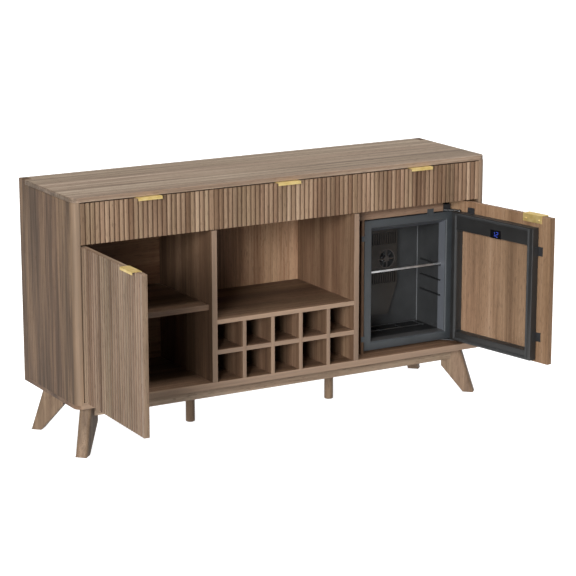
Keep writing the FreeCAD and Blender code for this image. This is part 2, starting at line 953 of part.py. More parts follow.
def fan_motor():
    """Motor can on the back wall with its shaft."""
    y0 = liner_back - cover_depth + guard_t + fan_gap
    can_y = y0 + fan_t + fan_gap
    can_r = fan_hub_r + motor_grow
    can = rod(fan_x, can_y, fan_z, can_r, liner_back - can_y, Vector(0, 1, 0))
    shaft = rod(fan_x, y0 + fan_gap, fan_z, fan_shaft_r, can_y - y0, Vector(0, 1, 0))
    return joined([can, shaft])


def glass_shelf():
    """Glass plate on the top ribs."""
    return block(
        cave_x0 + side_play, cave_x1 - side_play, glass_front, glass_back, rib_top, rib_top + glass_t
    )


def shelf_trim():
    """Bright channel on the front edge of the glass shelf."""
    x0 = cave_x0 + side_play
    x1 = cave_x1 - side_play
    y0 = glass_front - trim_reach
    lip = block(x0, x1, y0, glass_front, rib_top, rib_top + glass_t + trim_t)
    top = block(
        x0, x1, y0, y0 + trim_len, rib_top + glass_t, rib_top + glass_t + trim_t
    )
    return joined([lip, top])


def floor_grid():
    """Welded wire grid on the fridge floor."""
    z = opening_bottom + grid_lift + grid_wire_r
    x0 = cave_x0 + grid_margin
    x1 = cave_x1 - grid_margin
    span_x = x1 - x0 - 2 * grid_overhang
    span_y = grid_y1 - grid_y0 - 2 * grid_overhang
    wires = []
    for i in range(grid_long):
        y = grid_y0 + grid_overhang + span_y * i / (grid_long - 1)
        wires.append(rod(x0, y, z + grid_wire_r, grid_wire_r, x1 - x0, Vector(1, 0, 0)))
    for i in range(grid_cross):
        x = x0 + grid_overhang + span_x * i / (grid_cross - 1)
        wires.append(rod(x, grid_y0, z, grid_wire_r, grid_y1 - grid_y0, Vector(0, 1, 0)))
    return joined(wires)


def fridge_feet():
    """Four round feet between the fridge and the bottom panel."""
    made = []
    for x in (shell_x0 + foot_edge_x, shell_x1 - foot_edge_x):
        for y in (shell_y0 + foot_edge_y, shell_back - foot_edge_y):
            made.append(rod(x, y, floor_z, foot_r, shell_z0 - floor_z, Vector(0, 0, 1)))
    return made


def mount_tabs():
    """Three flat tabs that hold the fridge frame to the wood around it."""
    y0 = frame_y - tab_t
    board_x = fridge_left - liner_board_gap - liner_board_t
    half = top_tab_w / 2
    x0 = top_tab_x - half
    x1 = top_tab_x + half
    tabs = [block(x0, x1, y0, frame_y, fridge_top - tab_bite, fridge_top + tab_rise)]
    for z in side_tab_zs:
        z0 = z - side_tab_h / 2
        tabs.append(block(board_x, fridge_left + tab_bite, y0, frame_y, z0, z0 + side_tab_h))
    return tabs


def filler_rail():
    """Wood rail above the fridge, short of the hinge end."""
    return block(
        right_x0, filler_rail_end, frame_y, frame_y + front_t, filler_rail_bottom, deck_bottom
    )


def liner_board():
    """Wood board at the left of the fridge."""
    x1 = fridge_left - liner_board_gap
    return block(x1 - liner_board_t, x1, frame_y, back_y, floor_z, filler_rail_bottom)


def cooling_module():
    """Finned heat sink behind the foam with its cold block."""
    middle = (shell_x0 + shell_x1) / 2
    x0 = middle - sink_w / 2
    z0 = fan_z - sink_h / 2
    y0 = insulation_back
    pieces = [block(x0, x0 + sink_w, y0, y0 + sink_base_t, z0, z0 + sink_h)]
    step = (sink_w - sink_fin_t) / (sink_fins - 1)
    for i in range(sink_fins):
        x = x0 + step * i
        pieces.append(
            block(x, x + sink_fin_t, y0, y0 + sink_base_t + sink_fin_h, z0, z0 + sink_h)
        )
    pieces.append(cold_box(liner_back + liner_t, y0 + sink_base_t))
    return joined(pieces)


def control_box():
    """Power and control box in the machine space."""
    x1 = shell_x1 - shell_t - control_gap
    y0 = insulation_back
    z0 = shell_z0 + shell_t
    return block(x1 - control_w, x1, y0, y0 + control_d, z0, z0 + control_h)


def hinge_arm_outline():
    """Plan outline of a fridge hinge arm, without its round eye."""
    left = fridge_axis_x - fridge_eye_r
    return [
        (left, fridge_axis_y),
        (fridge_axis_x + fridge_eye_r, fridge_axis_y),
        (fridge_axis_x, fridge_axis_y + fridge_eye_r),
        (hinge_pad_x1, hinge_pad_y0),
        (hinge_pad_x1, hinge_pad_y1),
        (hinge_pad_x0, hinge_pad_y1),
        (hinge_pad_x0, hinge_pad_y0),
    ]


def fridge_hinge_brackets():
    """Top and bottom arms from the fridge shell to the door pins."""
    up = Vector(0, 0, 1)
    made = []
    low_z = door_z0 - fridge_arm_gap - fridge_arm_t
    top_z = door_z1 + fridge_arm_gap
    for z, pad_z0, pad_z1 in ((low_z, low_z, shell_z0), (top_z, shell_z1, top_z + fridge_arm_t)):
        arm = plan(hinge_arm_outline(), z, z + fridge_arm_t)
        eye = rod(fridge_axis_x, fridge_axis_y, z, fridge_eye_r, fridge_arm_t, up)
        pad = block(hinge_pad_x0, hinge_pad_x1, hinge_pad_y0, hinge_pad_y1, pad_z0, pad_z1)
        pieces = [arm, eye, pad]
        if z == top_z:
            y1 = hinge_pad_y0 + hinge_block_h
            z1 = pad_z1 + hinge_block_h
            pieces.append(block(hinge_pad_x0, hinge_pad_x1, hinge_pad_y0, y1, pad_z0, z1))
        hole = rod(fridge_axis_x, fridge_axis_y, z, fridge_pin_r + run_clear, fridge_arm_t, up)
        made.append(joined(pieces).cut(hole))
    return made


def window():
    """Left, right, bottom and top of the fridge door's window."""
    return (
        fridge_left + door_free_stile,
        door_x1 - door_hinge_stile,
        door_z0 + door_bottom_rail,
        door_z1 - door_top_rail,
    )


def door_glass():
    """Glass of the fridge door, held in a groove of the frame."""
    x0, x1, z0, z1 = window()
    bite = door_glass_bite
    y0 = door_y0 + door_glass_setback
    return block(x0 - bite, x1 + bite, y0, y0 + door_glass_t, z0 - bite, z1 + bite)


def display_box():
    """Display block let into the top rail of the fridge door."""
    y1 = door_y1 + display_proud
    return block(
        display_x - display_w / 2,
        display_x + display_w / 2,
        y1 - display_t,
        y1,
        display_z - display_h / 2,
        display_z + display_h / 2,
    )


def door_frame():
    """Frame of the fridge door with its window, pin bores and display pocket."""
    x0, x1, z0, z1 = window()
    frame = block(fridge_left, door_x1, door_y0, door_y1, door_z0, door_z1)
    r = fridge_pin_r + run_clear
    up = Vector(0, 0, 1)
    cutters = [
        block(x0, x1, door_y0, door_y1, z0, z1),
        door_glass(),
        display_box(),
        rod(fridge_axis_x, fridge_axis_y, door_z0, r, pin_bite, up),
        rod(fridge_axis_x, fridge_axis_y, door_z1 - pin_bite, r, pin_bite, up),
    ]
    return carved(frame, cutters)


def door_gasket():
    """Seal ring on the inner face of the fridge door."""
    x0 = fridge_left + gasket_inset
    x1 = door_x1 - gasket_hinge_inset
    z0 = door_z0 + gasket_low_inset
    z1 = door_z1 - gasket_top_inset
    w = gasket_w
    ring = block(x0, x1, door_y1, door_y1 + gasket_t, z0, z1)
    return ring.cut(block(x0 + w, x1 - w, door_y1, door_y1 + gasket_t, z0 + w, z1 - w))


def panel_brackets():
    """Three angle brackets from the fridge door to the wood panel."""
    made = []
    y0 = front_back_y
    t = bracket_t
    leaf = bracket_leaf
    half = bracket_w / 2
    for z in side_bracket_zs:
        edge = block(fridge_left - t, fridge_left, y0, y0 + leaf, z - half, z + half)
        flat = block(fridge_left - leaf, fridge_left, y0, y0 + t, z - half, z + half)
        made.append(joined([edge, flat]))
    x0 = top_bracket_x
    x1 = x0 + top_bracket_w
    edge = block(x0, x1, y0, y0 + leaf, door_z1, door_z1 + t)
    flat = block(x0, x1, y0, y0 + t, door_z1, door_z1 + leaf)
    made.append(joined([edge, flat]))
    return made


def carcass():
    """Everything that stands still, without the fridge."""
    save("top_panel", [stepped_plate(top_under, height, top_corner_r)])
    save("left_side_panel", [side_panel(-1)])
    save("right_side_panel", [side_panel(1)])
    save("rear_stiles", rear_stiles())
    save("bottom_panel", [bottom_panel()])
    save("front_apron", [apron()])
    save("back_panel", [back_panel()])
    save("left_divider", [divider(left_div_x)])
    save("right_divider", [divider(right_div_x)])
    save("drawer_decks", drawer_decks())
    save("left_shelf", [left_shelf()])
    save("shelf_pins", shelf_pins())
    save("niche_shelf", [niche_shelf()])
    save("rack_shelf", [rack_shelf()])
    save("rack_uprights", rack_uprights())
    save("corner_legs", [corner_leg(x, y) for x in (-1, 1) for y in (-1, 1)])
    save("centre_legs", [centre_leg(-centre_leg_x), centre_leg(centre_leg_x)])
    save("drawer_rails", drawer_rails())
    save("left_hinge_brackets", [left_hinge_bracket(z) for z in left_hinge_zs()])
    save("hinge_pins", hinge_pins())


def drawers():
    """Three drawers: front, pull, box and slides."""
    names = ["left_drawer", "middle_drawer", "right_drawer"]
    for name, bay, ends in zip(names, bays(), drawer_fronts()):
        x0, x1 = ends
        front = fluted(x0, x1, x0, x1, drawer_front_bottom, drawer_front_top)
        save(name + "_front", [front])
        save(name + "_pull", [pull((x0 + x1) / 2, drawer_front_top, drawer_pull_reach)])
        save(name + "_box", drawer_box(bay))
        save(name + "_slides", drawer_slides(bay))


def door_group():
    """Left door and its pull, turned open."""
    turn = (left_axis_x, left_axis_y, -left_door_open)
    save("left_door", [left_door()], turn)
    centre = left_door_x1 - pull_end_gap - pull_len / 2
    save("left_door_pull", [pull(centre, door_top, door_pull_reach)], turn)


def fridge():
    """Fixed parts of the fridge and the fan."""
    save("fridge_filler_rail", [filler_rail()])
    save("fridge_liner_board", [liner_board()])
    save("fridge_shell", [fridge_shell()])
    save("fridge_insulation", [fridge_insulation()])
    save("fridge_liner", [fridge_liner()])
    save("fridge_frame", [fridge_frame()])
    save("evaporator_cover", [evaporator_cover()])
    save("fan_guard", [fan_guard()])
    save("fan_rotor", [fan_rotor()])
    save("fan_motor", [fan_motor()])
    save("glass_shelf", [glass_shelf()])
    save("shelf_trim", [shelf_trim()])
    save("floor_grid", [floor_grid()])
    save("fridge_feet", fridge_feet())
    save("mount_tabs", mount_tabs())
    save("fridge_hinge_brackets", fridge_hinge_brackets())
    save("cooling_module", [cooling_module()])
    save("control_box", [control_box()])


def fridge_door_group():
    """Fridge door and the wood panel on it, turned open."""
    turn = (fridge_axis_x, fridge_axis_y, fridge_door_open)
    save("door_frame", [door_frame()], turn)
    save("door_glass", [door_glass()], turn)
    save("door_gasket", [door_gasket()], turn)
    save("door_display", [display_box()], turn)
    save("panel_brackets", panel_brackets(), turn)
    panel = fluted(panel_left, panel_right, panel_left, panel_right, door_bottom, door_top)
    save("fridge_panel", [panel], turn)
    centre = panel_left + pull_end_gap + pull_len / 2
    save("fridge_panel_pull", [pull(centre, door_top, door_pull_reach)], turn)


carcass()
drawers()
door_group()
fridge()
fridge_door_group()
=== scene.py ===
"""Looks of the wine bar cabinet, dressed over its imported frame.

Sizes are in millimetres in the cabinet's own frame: X to the right, Y to the back,
Z up from the floor, with X and Y zero at the middle of the carcass. Hang.place turns
a piece to its rest pose and takes it to the shared frame in metres. Places in the
finishes are in metres in the shared frame, as Object coordinates give them.
"""

import json
import logging
import math
from dataclasses import dataclass, field
from enum import Enum
from typing import Any, Callable, Dict, List, Optional, Sequence, Tuple, Union

import bpy
import numpy as np
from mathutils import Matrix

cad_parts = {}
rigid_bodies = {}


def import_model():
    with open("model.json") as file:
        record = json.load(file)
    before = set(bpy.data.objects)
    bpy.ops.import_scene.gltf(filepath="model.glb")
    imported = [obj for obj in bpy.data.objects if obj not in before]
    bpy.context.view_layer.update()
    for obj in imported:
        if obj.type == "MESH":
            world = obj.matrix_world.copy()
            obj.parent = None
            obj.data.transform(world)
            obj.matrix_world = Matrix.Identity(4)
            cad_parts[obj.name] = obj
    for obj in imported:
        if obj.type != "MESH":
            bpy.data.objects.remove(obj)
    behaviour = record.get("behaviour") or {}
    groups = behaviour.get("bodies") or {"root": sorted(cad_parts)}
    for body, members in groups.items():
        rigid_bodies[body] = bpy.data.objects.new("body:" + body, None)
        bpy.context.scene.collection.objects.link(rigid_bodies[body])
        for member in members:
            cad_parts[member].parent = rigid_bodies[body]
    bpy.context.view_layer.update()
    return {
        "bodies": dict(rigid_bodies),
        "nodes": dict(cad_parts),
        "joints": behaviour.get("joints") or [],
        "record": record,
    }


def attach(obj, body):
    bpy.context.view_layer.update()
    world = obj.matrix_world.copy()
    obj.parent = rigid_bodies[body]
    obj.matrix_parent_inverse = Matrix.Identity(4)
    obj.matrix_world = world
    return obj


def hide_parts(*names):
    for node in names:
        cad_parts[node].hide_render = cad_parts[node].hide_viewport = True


LOG = logging.getLogger("cabinet")
Pair = Tuple[float, float]
Triple = Tuple[float, float, float]
Rect = Tuple[float, float, float, float]
Tones = Tuple[str, str, str]
Ribbed = Tuple[np.ndarray, np.ndarray, np.ndarray]
Stops = Sequence[Tuple[float, Sequence[float]]]

SHIFT = np.array([-10.782749, 211.967026, 0.0])
MM = 0.001
SMOOTH_UNDER = 32.0
BEVEL_OVER = 40.0


class Axis(Enum):
    """Axis along which grain runs or an outline is carried."""

    X = 0
    Y = 1
    Z = 2


def srgb(code: str) -> Tuple[float, float, float, float]:
    """Linear colour of a six digit sRGB code.

    Args:
        code: Red, green and blue, two hexadecimal digits each.

    Returns:
        Red, green and blue from 0 to 1, and full alpha.
    """
    raw = np.array([int(code[i:i + 2], 16) for i in (0, 2, 4)]) / 255.0
    line = np.where(raw <= 0.04045, raw / 12.92, ((raw + 0.055) / 1.055) ** 2.4)
    return (float(line[0]), float(line[1]), float(line[2]), 1.0)


def turning(angle: float) -> np.ndarray:
    """Matrix that turns points about the upright axis.

    Args:
        angle: Angle in radians.

    Returns:
        Array of shape (3, 3).
    """
    c = math.cos(angle)
    s = math.sin(angle)
    return np.array([[c, -s, 0.0], [s, c, 0.0], [0.0, 0.0, 1.0]])


@dataclass(frozen=True)
class Hang:
    """Upright hinge line and the angle by which a piece stands open on it."""

    x: float = 0.0
    y: float = 0.0
    turn: float = 0.0

    def place(self, points: np.ndarray) -> np.ndarray:
        """Turn points about the line and take them to the shared frame.

        Args:
            points: Array of shape (n, 3) in cabinet millimetres.

        Returns:
            Array of shape (n, 3) in metres, p' = R (p - line) + line + shift.
        """
        spin = turning(math.radians(self.turn))
        line = np.array([self.x, self.y, 0.0])
        return ((points - line) @ spin.T + line + SHIFT) * MM


STILL = Hang()
LEFT_HINGE = Hang(-714.5, -191.0, -91.0)
FRIDGE_HINGE = Hang(665.0, -174.0, 101.0)


@dataclass
class Shell:
    """Closed surface: points, four-sided faces, end caps, and two values per point."""

    points: np.ndarray
    quads: np.ndarray
    caps: List[np.ndarray] = field(default_factory=list)
    rib: Optional[np.ndarray] = None
    deep: Optional[np.ndarray] = None

    def outward(self) -> "Shell":
        """Turn the faces over if the signed volume, a sum of tetrahedra, is negative.

        Returns:
            The shell itself.
        """
        p = self.points[self.quads]
        sides = np.cross(p[:, 1], p[:, 2]) + np.cross(p[:, 2], p[:, 3])
        volume = float(np.sum(p[:, 0] * sides))
        for cap in self.caps:
            c = self.points[cap]
            volume += float(np.sum(np.cross(c[1:-1], c[2:]) @ c[0]))
        if volume < 0:
            self.quads = self.quads[:, ::-1]
            self.caps = [cap[::-1] for cap in self.caps]
        return self

    def faces(self) -> List[List[int]]:
        """All faces as index lists."""
        return self.quads.tolist() + [cap.tolist() for cap in self.caps]


def merged(shells: Sequence[Shell]) -> Shell:
    """Put several plain shells into one, with their indices moved along.

    Args:
        shells: The shells to join; they stay separate islands.

    Returns:
        One shell with all points and faces.
    """
    offsets = np.cumsum([0] + [len(s.points) for s in shells])
    quads = np.concatenate([s.quads + o for s, o in zip(shells, offsets)])
    caps = [cap + o for s, o in zip(shells, offsets) for cap in s.caps]
    return Shell(np.concatenate([s.points for s in shells]), quads, caps)


def grid_quads(rows: int, cols: int, wrap_rows: bool) -> np.ndarray:
    """Quads of a grid of rows x cols points whose columns always close on themselves.

    Args:
        rows: Number of rings.
        cols: Number of points in a ring.
        wrap_rows: Whether the last ring joins the first.

    Returns:
        Array of shape (n, 4), point (r, c) being r * cols + c.
    """
    index = np.arange(rows * cols).reshape(rows, cols)
    below = index if wrap_rows else index[:-1]
    above = np.roll(index, -1, axis=0) if wrap_rows else index[1:]
    corners = [below, np.roll(below, -1, axis=1), np.roll(above, -1, axis=1), above]
    return np.stack(corners, axis=-1).reshape(-1, 4)


def loft(rings: np.ndarray) -> Shell:
    """Skin over rings of equal count, shape (rings, points, 3), closed by flat ends.

    Args:
        rings: The rings in order; each is a closed line.

    Returns:
        Closed shell.
    """
    rows, cols = rings.shape[:2]
    first = np.arange(cols)
    caps = [first[::-1], first + (rows - 1) * cols]
    return Shell(rings.reshape(-1, 3), grid_quads(rows, cols, False), caps).outward()


def stacked(levels: Sequence[Tuple[float, np.ndarray]]) -> Shell:
    """Skin over closed plans of equal count, each at its own height."""
    return loft(np.stack([np.insert(plan, 2, z, axis=1) for z, plan in levels]))


def sweep(outline: np.ndarray, span: Pair, axis: Axis) -> Shell:
    """Carry a closed flat outline straight along one axis.

    The outline holds the other two coordinates in their X, Y, Z order, and the point
    at step k is outline(u) with the axis coordinate span[k].

    Args:
        outline: Array of shape (n, 2).
        span: Start and end on the axis.
        axis: Axis along which the outline is carried.

    Returns:
        Closed shell.
    """
    rings = [np.insert(outline, axis.value, value, axis=1) for value in span]
    return loft(np.stack(rings))


def board(x: Pair, y: Pair, z: Pair) -> Shell:
    """Square board between two values on each axis, swept up from its plan."""
    plan = np.array([[x[0], y[0]], [x[1], y[0]], [x[1], y[1]], [x[0], y[1]]])
    return sweep(plan, z, Axis.Z)


def rounded(corners: Sequence[Triple], steps: int) -> np.ndarray:
    """Outline whose corners are rounded by tangent arcs.

    Each corner is x, y and radius. The arc leaves the corner at r / tan(half angle) and
    is the quadratic from one tangent point to the other, bent to a circle by weights.

    Args:
        corners: Corners in order round the outline.
        steps: Spans of each arc.

    Returns:
        Array of shape (n, 2).
    """
    made: List[np.ndarray] = []
    points = np.array([c[:2] for c in corners], dtype=float)
    for i, (_, _, radius) in enumerate(corners):
        here = points[i]
        if radius <= 0:
            made.append(here[None])
            continue
        back = points[i - 1] - here
        ahead = points[(i + 1) % len(points)] - here
        back = back / np.linalg.norm(back)
        ahead = ahead / np.linalg.norm(ahead)
        half = math.acos(float(np.clip(back @ ahead, -1.0, 1.0))) / 2
        reach = radius / math.tan(half)
        t = np.linspace(0.0, 1.0, steps + 1)[:, None]
        b0 = (1 - t) ** 2
        b1 = 2 * t * (1 - t) * math.sin(half)
        b2 = t ** 2
        start = here + back * reach
        end = here + ahead * reach
        made.append((b0 * start + b1 * here + b2 * end) / (b0 + b1 + b2))
    return np.concatenate(made)


def circle(angle: np.ndarray) -> np.ndarray:
    """Points of the unit circle at some angles, shape (n, 2)."""
    return np.stack([np.cos(angle), np.sin(angle)], axis=-1)


def lathe(profile: np.ndarray, centre: Sequence[float], axis: Axis, steps: int) -> Shell:
    """Turn a profile of radius and height about an axis through a centre.

    The point at angle a and profile place v is centre + r(v) (cos a, sin a) across the
    axis + h(v) along it, with flat ends.

    Args:
        profile: Array of shape (n, 2) of radius and height.
        centre: Start of the axis.
        axis: Axis of turning.
        steps: Points round the axis.

    Returns:
        Closed shell.
    """
    across = circle(np.linspace(0.0, 2 * np.pi, steps, endpoint=False))
    flat = profile[:, None, :1] * across[None]
    height = np.broadcast_to(profile[:, None, 1], flat.shape[:2])
    return loft(np.insert(flat, axis.value, height, axis=2) + np.array(centre))


def frame_ring(outer: Rect, inner: Rect, profile: np.ndarray) -> Shell:
    """Carry a profile round a rectangle with mitred corners.

    A profile point is a share f from the outer to the inner rectangle and a depth y,
    so the corner point is outer + f (inner - outer) at that depth.

    Args:
        outer: Left, right, bottom and top of the outer rectangle.
        inner: Left, right, bottom and top of the inner rectangle.
        profile: Array of shape (n, 2) of share and depth, closed.

    Returns:
        Closed ring shell.
    """
    picks = np.array([[0, 2], [1, 2], [1, 3], [0, 3]])
    far = np.array(outer)[picks]
    near = np.array(inner)[picks]
    flat = far[:, None] + profile[None, :, :1] * (near - far)[:, None]
    depth = np.broadcast_to(profile[None, :, 1], flat.shape[:2])
    points = np.stack([flat[..., 0], depth, flat[..., 1]], axis=-1)
    rows, cols = points.shape[:2]
    return Shell(points.reshape(-1, 3), grid_quads(rows, cols, True)).outward()


def weld(shell: Shell, rib: np.ndarray, deep: np.ndarray) -> Shell:
    """Join points that coincide and drop the faces that this leaves without area.

    Points are keyed by their place to a thousandth of a millimetre. A face with one
    doubled corner becomes a triangle, and one with two is dropped.

    Args:
        shell: Shell with doubled points.
        rib: Tint of each point.
        deep: Depth of each point.

    Returns:
        Shell with single points.
    """
    key = np.round(shell.points, 3)
    _, first, back = np.unique(key, axis=0, return_index=True, return_inverse=True)
    back = back.reshape(-1)
    moved = back[shell.quads]
    single = moved != np.roll(moved, -1, axis=1)
    count = np.sum(single, axis=1)
    three = count == 3
    slim = moved[three][single[three]].reshape(-1, 3)
    caps = [back[cap] for cap in shell.caps] + list(slim)
    return Shell(shell.points[first], moved[count == 4], caps, rib[first], deep[first])


def node_math(operation: str, flipped: bool = False) -> Callable[["Socket", Any], "Socket"]:
    """Operator of Socket that adds one Math node.

    Args:
        operation: Operation of the node.
        flipped: Whether the other value comes first, as in a reflected form.

    Returns:
        The operator's method.
    """

    def method(self: "Socket", other: Any) -> "Socket":
        """Add the node on this value and another one."""
        values = {0: other, 1: self} if flipped else {0: self, 1: other}
        return self.shade.add("ShaderNodeMath", {"operation": operation}, values)

    return method


class Socket:
    """Value in a node tree, with arithmetic that adds Math nodes."""

    def __init__(self, shade: "Shade", link: Any) -> None:
        """Keep the tree and the output that carries the value."""
        self.shade = shade
        self.link = link

    __add__ = node_math("ADD")
    __radd__ = node_math("ADD", True)
    __sub__ = node_math("SUBTRACT")
    __rsub__ = node_math("SUBTRACT", True)
    __mul__ = node_math("MULTIPLY")
    __rmul__ = node_math("MULTIPLY", True)
    __gt__ = node_math("GREATER_THAN")
    __lt__ = node_math("LESS_THAN")


class Shade:
    """Material under construction."""

    def __init__(self, name: str) -> None:
        """Start a node material with a principled surface.

        Args:
            name: Name of the material.
        """
        self.material = bpy.data.materials.new(name)
        self.material.use_nodes = True
        self.tree = self.material.node_tree
        self.surface = self.tree.nodes["Principled BSDF"]

    def add(
        self,
        kind: str,
        settings: Dict[str, Any],
        inputs: Dict[Union[int, str], Any],
        output: Union[int, str] = 0,
    ) -> Socket:
        """Add a node: its settings first, then the values or links of its sockets.

        Args:
            kind: Type of the node.
            settings: Attributes; "stops" fills a colour ramp.
            inputs: Values, or sockets to link, by index or name.
            output: Which output to hand back.

        Returns:
            That output as a socket.
        """
        node = self.tree.nodes.new(kind)
        for key, value in settings.items():
            if key == "stops":
                self._fill_ramp(node.color_ramp, value)
            else:
                setattr(node, key, value)
        for key, value in inputs.items():
            self.feed(node.inputs[key], value)
        return Socket(self, node.outputs[output])

    @staticmethod
    def _fill_ramp(ramp: Any, stops: Stops) -> None:
        """Give a colour ramp its stops.

        Args:
            ramp: The ramp of a node.
            stops: Place and colour of each stop.
        """
        while len(ramp.elements) < len(stops):
            ramp.elements.new(1.0)
        for element, (place, colour) in zip(ramp.elements, stops):
            element.position = place
            element.color = colour

    def feed(self, target: Any, value: Any) -> None:
        """Link a socket to an input, or set a plain value on it.

        Args:
            target: Input of a node.
            value: Socket or plain value.
        """
        if isinstance(value, Socket):
            self.tree.links.new(value.link, target)
        else:
            target.default_value = value

    def set(self, **values: Any) -> None:
        """Feed inputs of the principled surface by name, with _ for a space."""
        for key, value in values.items():
            self.feed(self.surface.inputs[key.replace("_", " ")], value)

    def place(self, scale: Triple = (1, 1, 1), move: Triple = (0, 0, 0)) -> Socket:
        """Object coordinates through a Mapping node."""
        raw = self.add("ShaderNodeTexCoord", {}, {}, "Object")
        return self.add("ShaderNodeMapping", {}, {"Vector": raw, "Scale": scale, "Location": move})

    def noise(self, at: Socket, scale: float, detail: float = 2.0, rough: float = 0.5) -> Socket:
        """Value of a noise at a place."""
        inputs = {"Vector": at, "Scale": scale, "Detail": detail, "Roughness": rough}
        return self.add("ShaderNodeTexNoise", {}, inputs)

    def ramp(self, value: Socket, stops: Stops) -> Socket:
        """Colour from a value through a ramp."""
        return self.add("ShaderNodeValToRGB", {"stops": stops}, {0: value})

    def drift(self, value: Socket, low: str, high: str, reach: Pair = (0.3, 0.7)) -> Socket:
        """Colour that drifts with a noise from one tone to another."""
        return self.ramp(value, [(reach[0], srgb(low)), (reach[1], srgb(high))])

    def blend(self, share: Any, a: Any, b: Any, mode: str = "MIX") -> Socket:
        """Mix two colours."""
        settings = {"data_type": "RGBA", "blend_type": mode}
        return self.add("ShaderNodeMix", settings, {0: share, 6: a, 7: b}, 2)

    def attribute(self, name: str) -> Socket:
        """Value of a point attribute of the piece."""
        return self.add("ShaderNodeAttribute", {"attribute_name": name}, {}, "Fac")

    def along(self, axis: Axis) -> Socket:
        """One Object coordinate."""
        raw = self.add("ShaderNodeTexCoord", {}, {}, "Object")
        return self.add("ShaderNodeSeparateXYZ", {}, {0: raw}, axis.value)

    def bump(self, height: Socket, strength: float, distance: float) -> None:
        """Feed the surface's normal from a height."""
        inputs = {"Strength": strength, "Distance": distance, "Height": height}
        self.set(Normal=self.add("ShaderNodeBump", {}, inputs))


@dataclass(frozen=True)
class Streak:
    """Noise drawn out along one axis, where its scale is the share run of the rest."""

    run: float
    scale: float
    detail: float = 2.0
    rough: float = 0.5

    def lay(self, shade: Shade, axis: Axis, move: Triple = (0, 0, 0)) -> Socket:
        """Add the noise to a material.

        Args:
            shade: Material under construction.
            axis: Axis along which the noise is drawn out.
            move: How far the pattern is moved.

        Returns:
            Value of the noise.
        """
        x, y, z = (self.run if axis is one else 1.0 for one in Axis)
        return shade.noise(shade.place((x, y, z), move), self.scale, self.detail, self.rough)


@dataclass(frozen=True)
class Finish:
    """Finish that makes the material of its name."""

    name: str

    def paint(self, shade: Shade) -> None:
        """Lay the finish on a new material; each kind of finish has its own way."""
        raise NotImplementedError

    def make(self) -> Any:
        """Build the material.

        Returns:
            The finished material.
        """
        shade = Shade(self.name)
        self.paint(shade)
        return shade.material


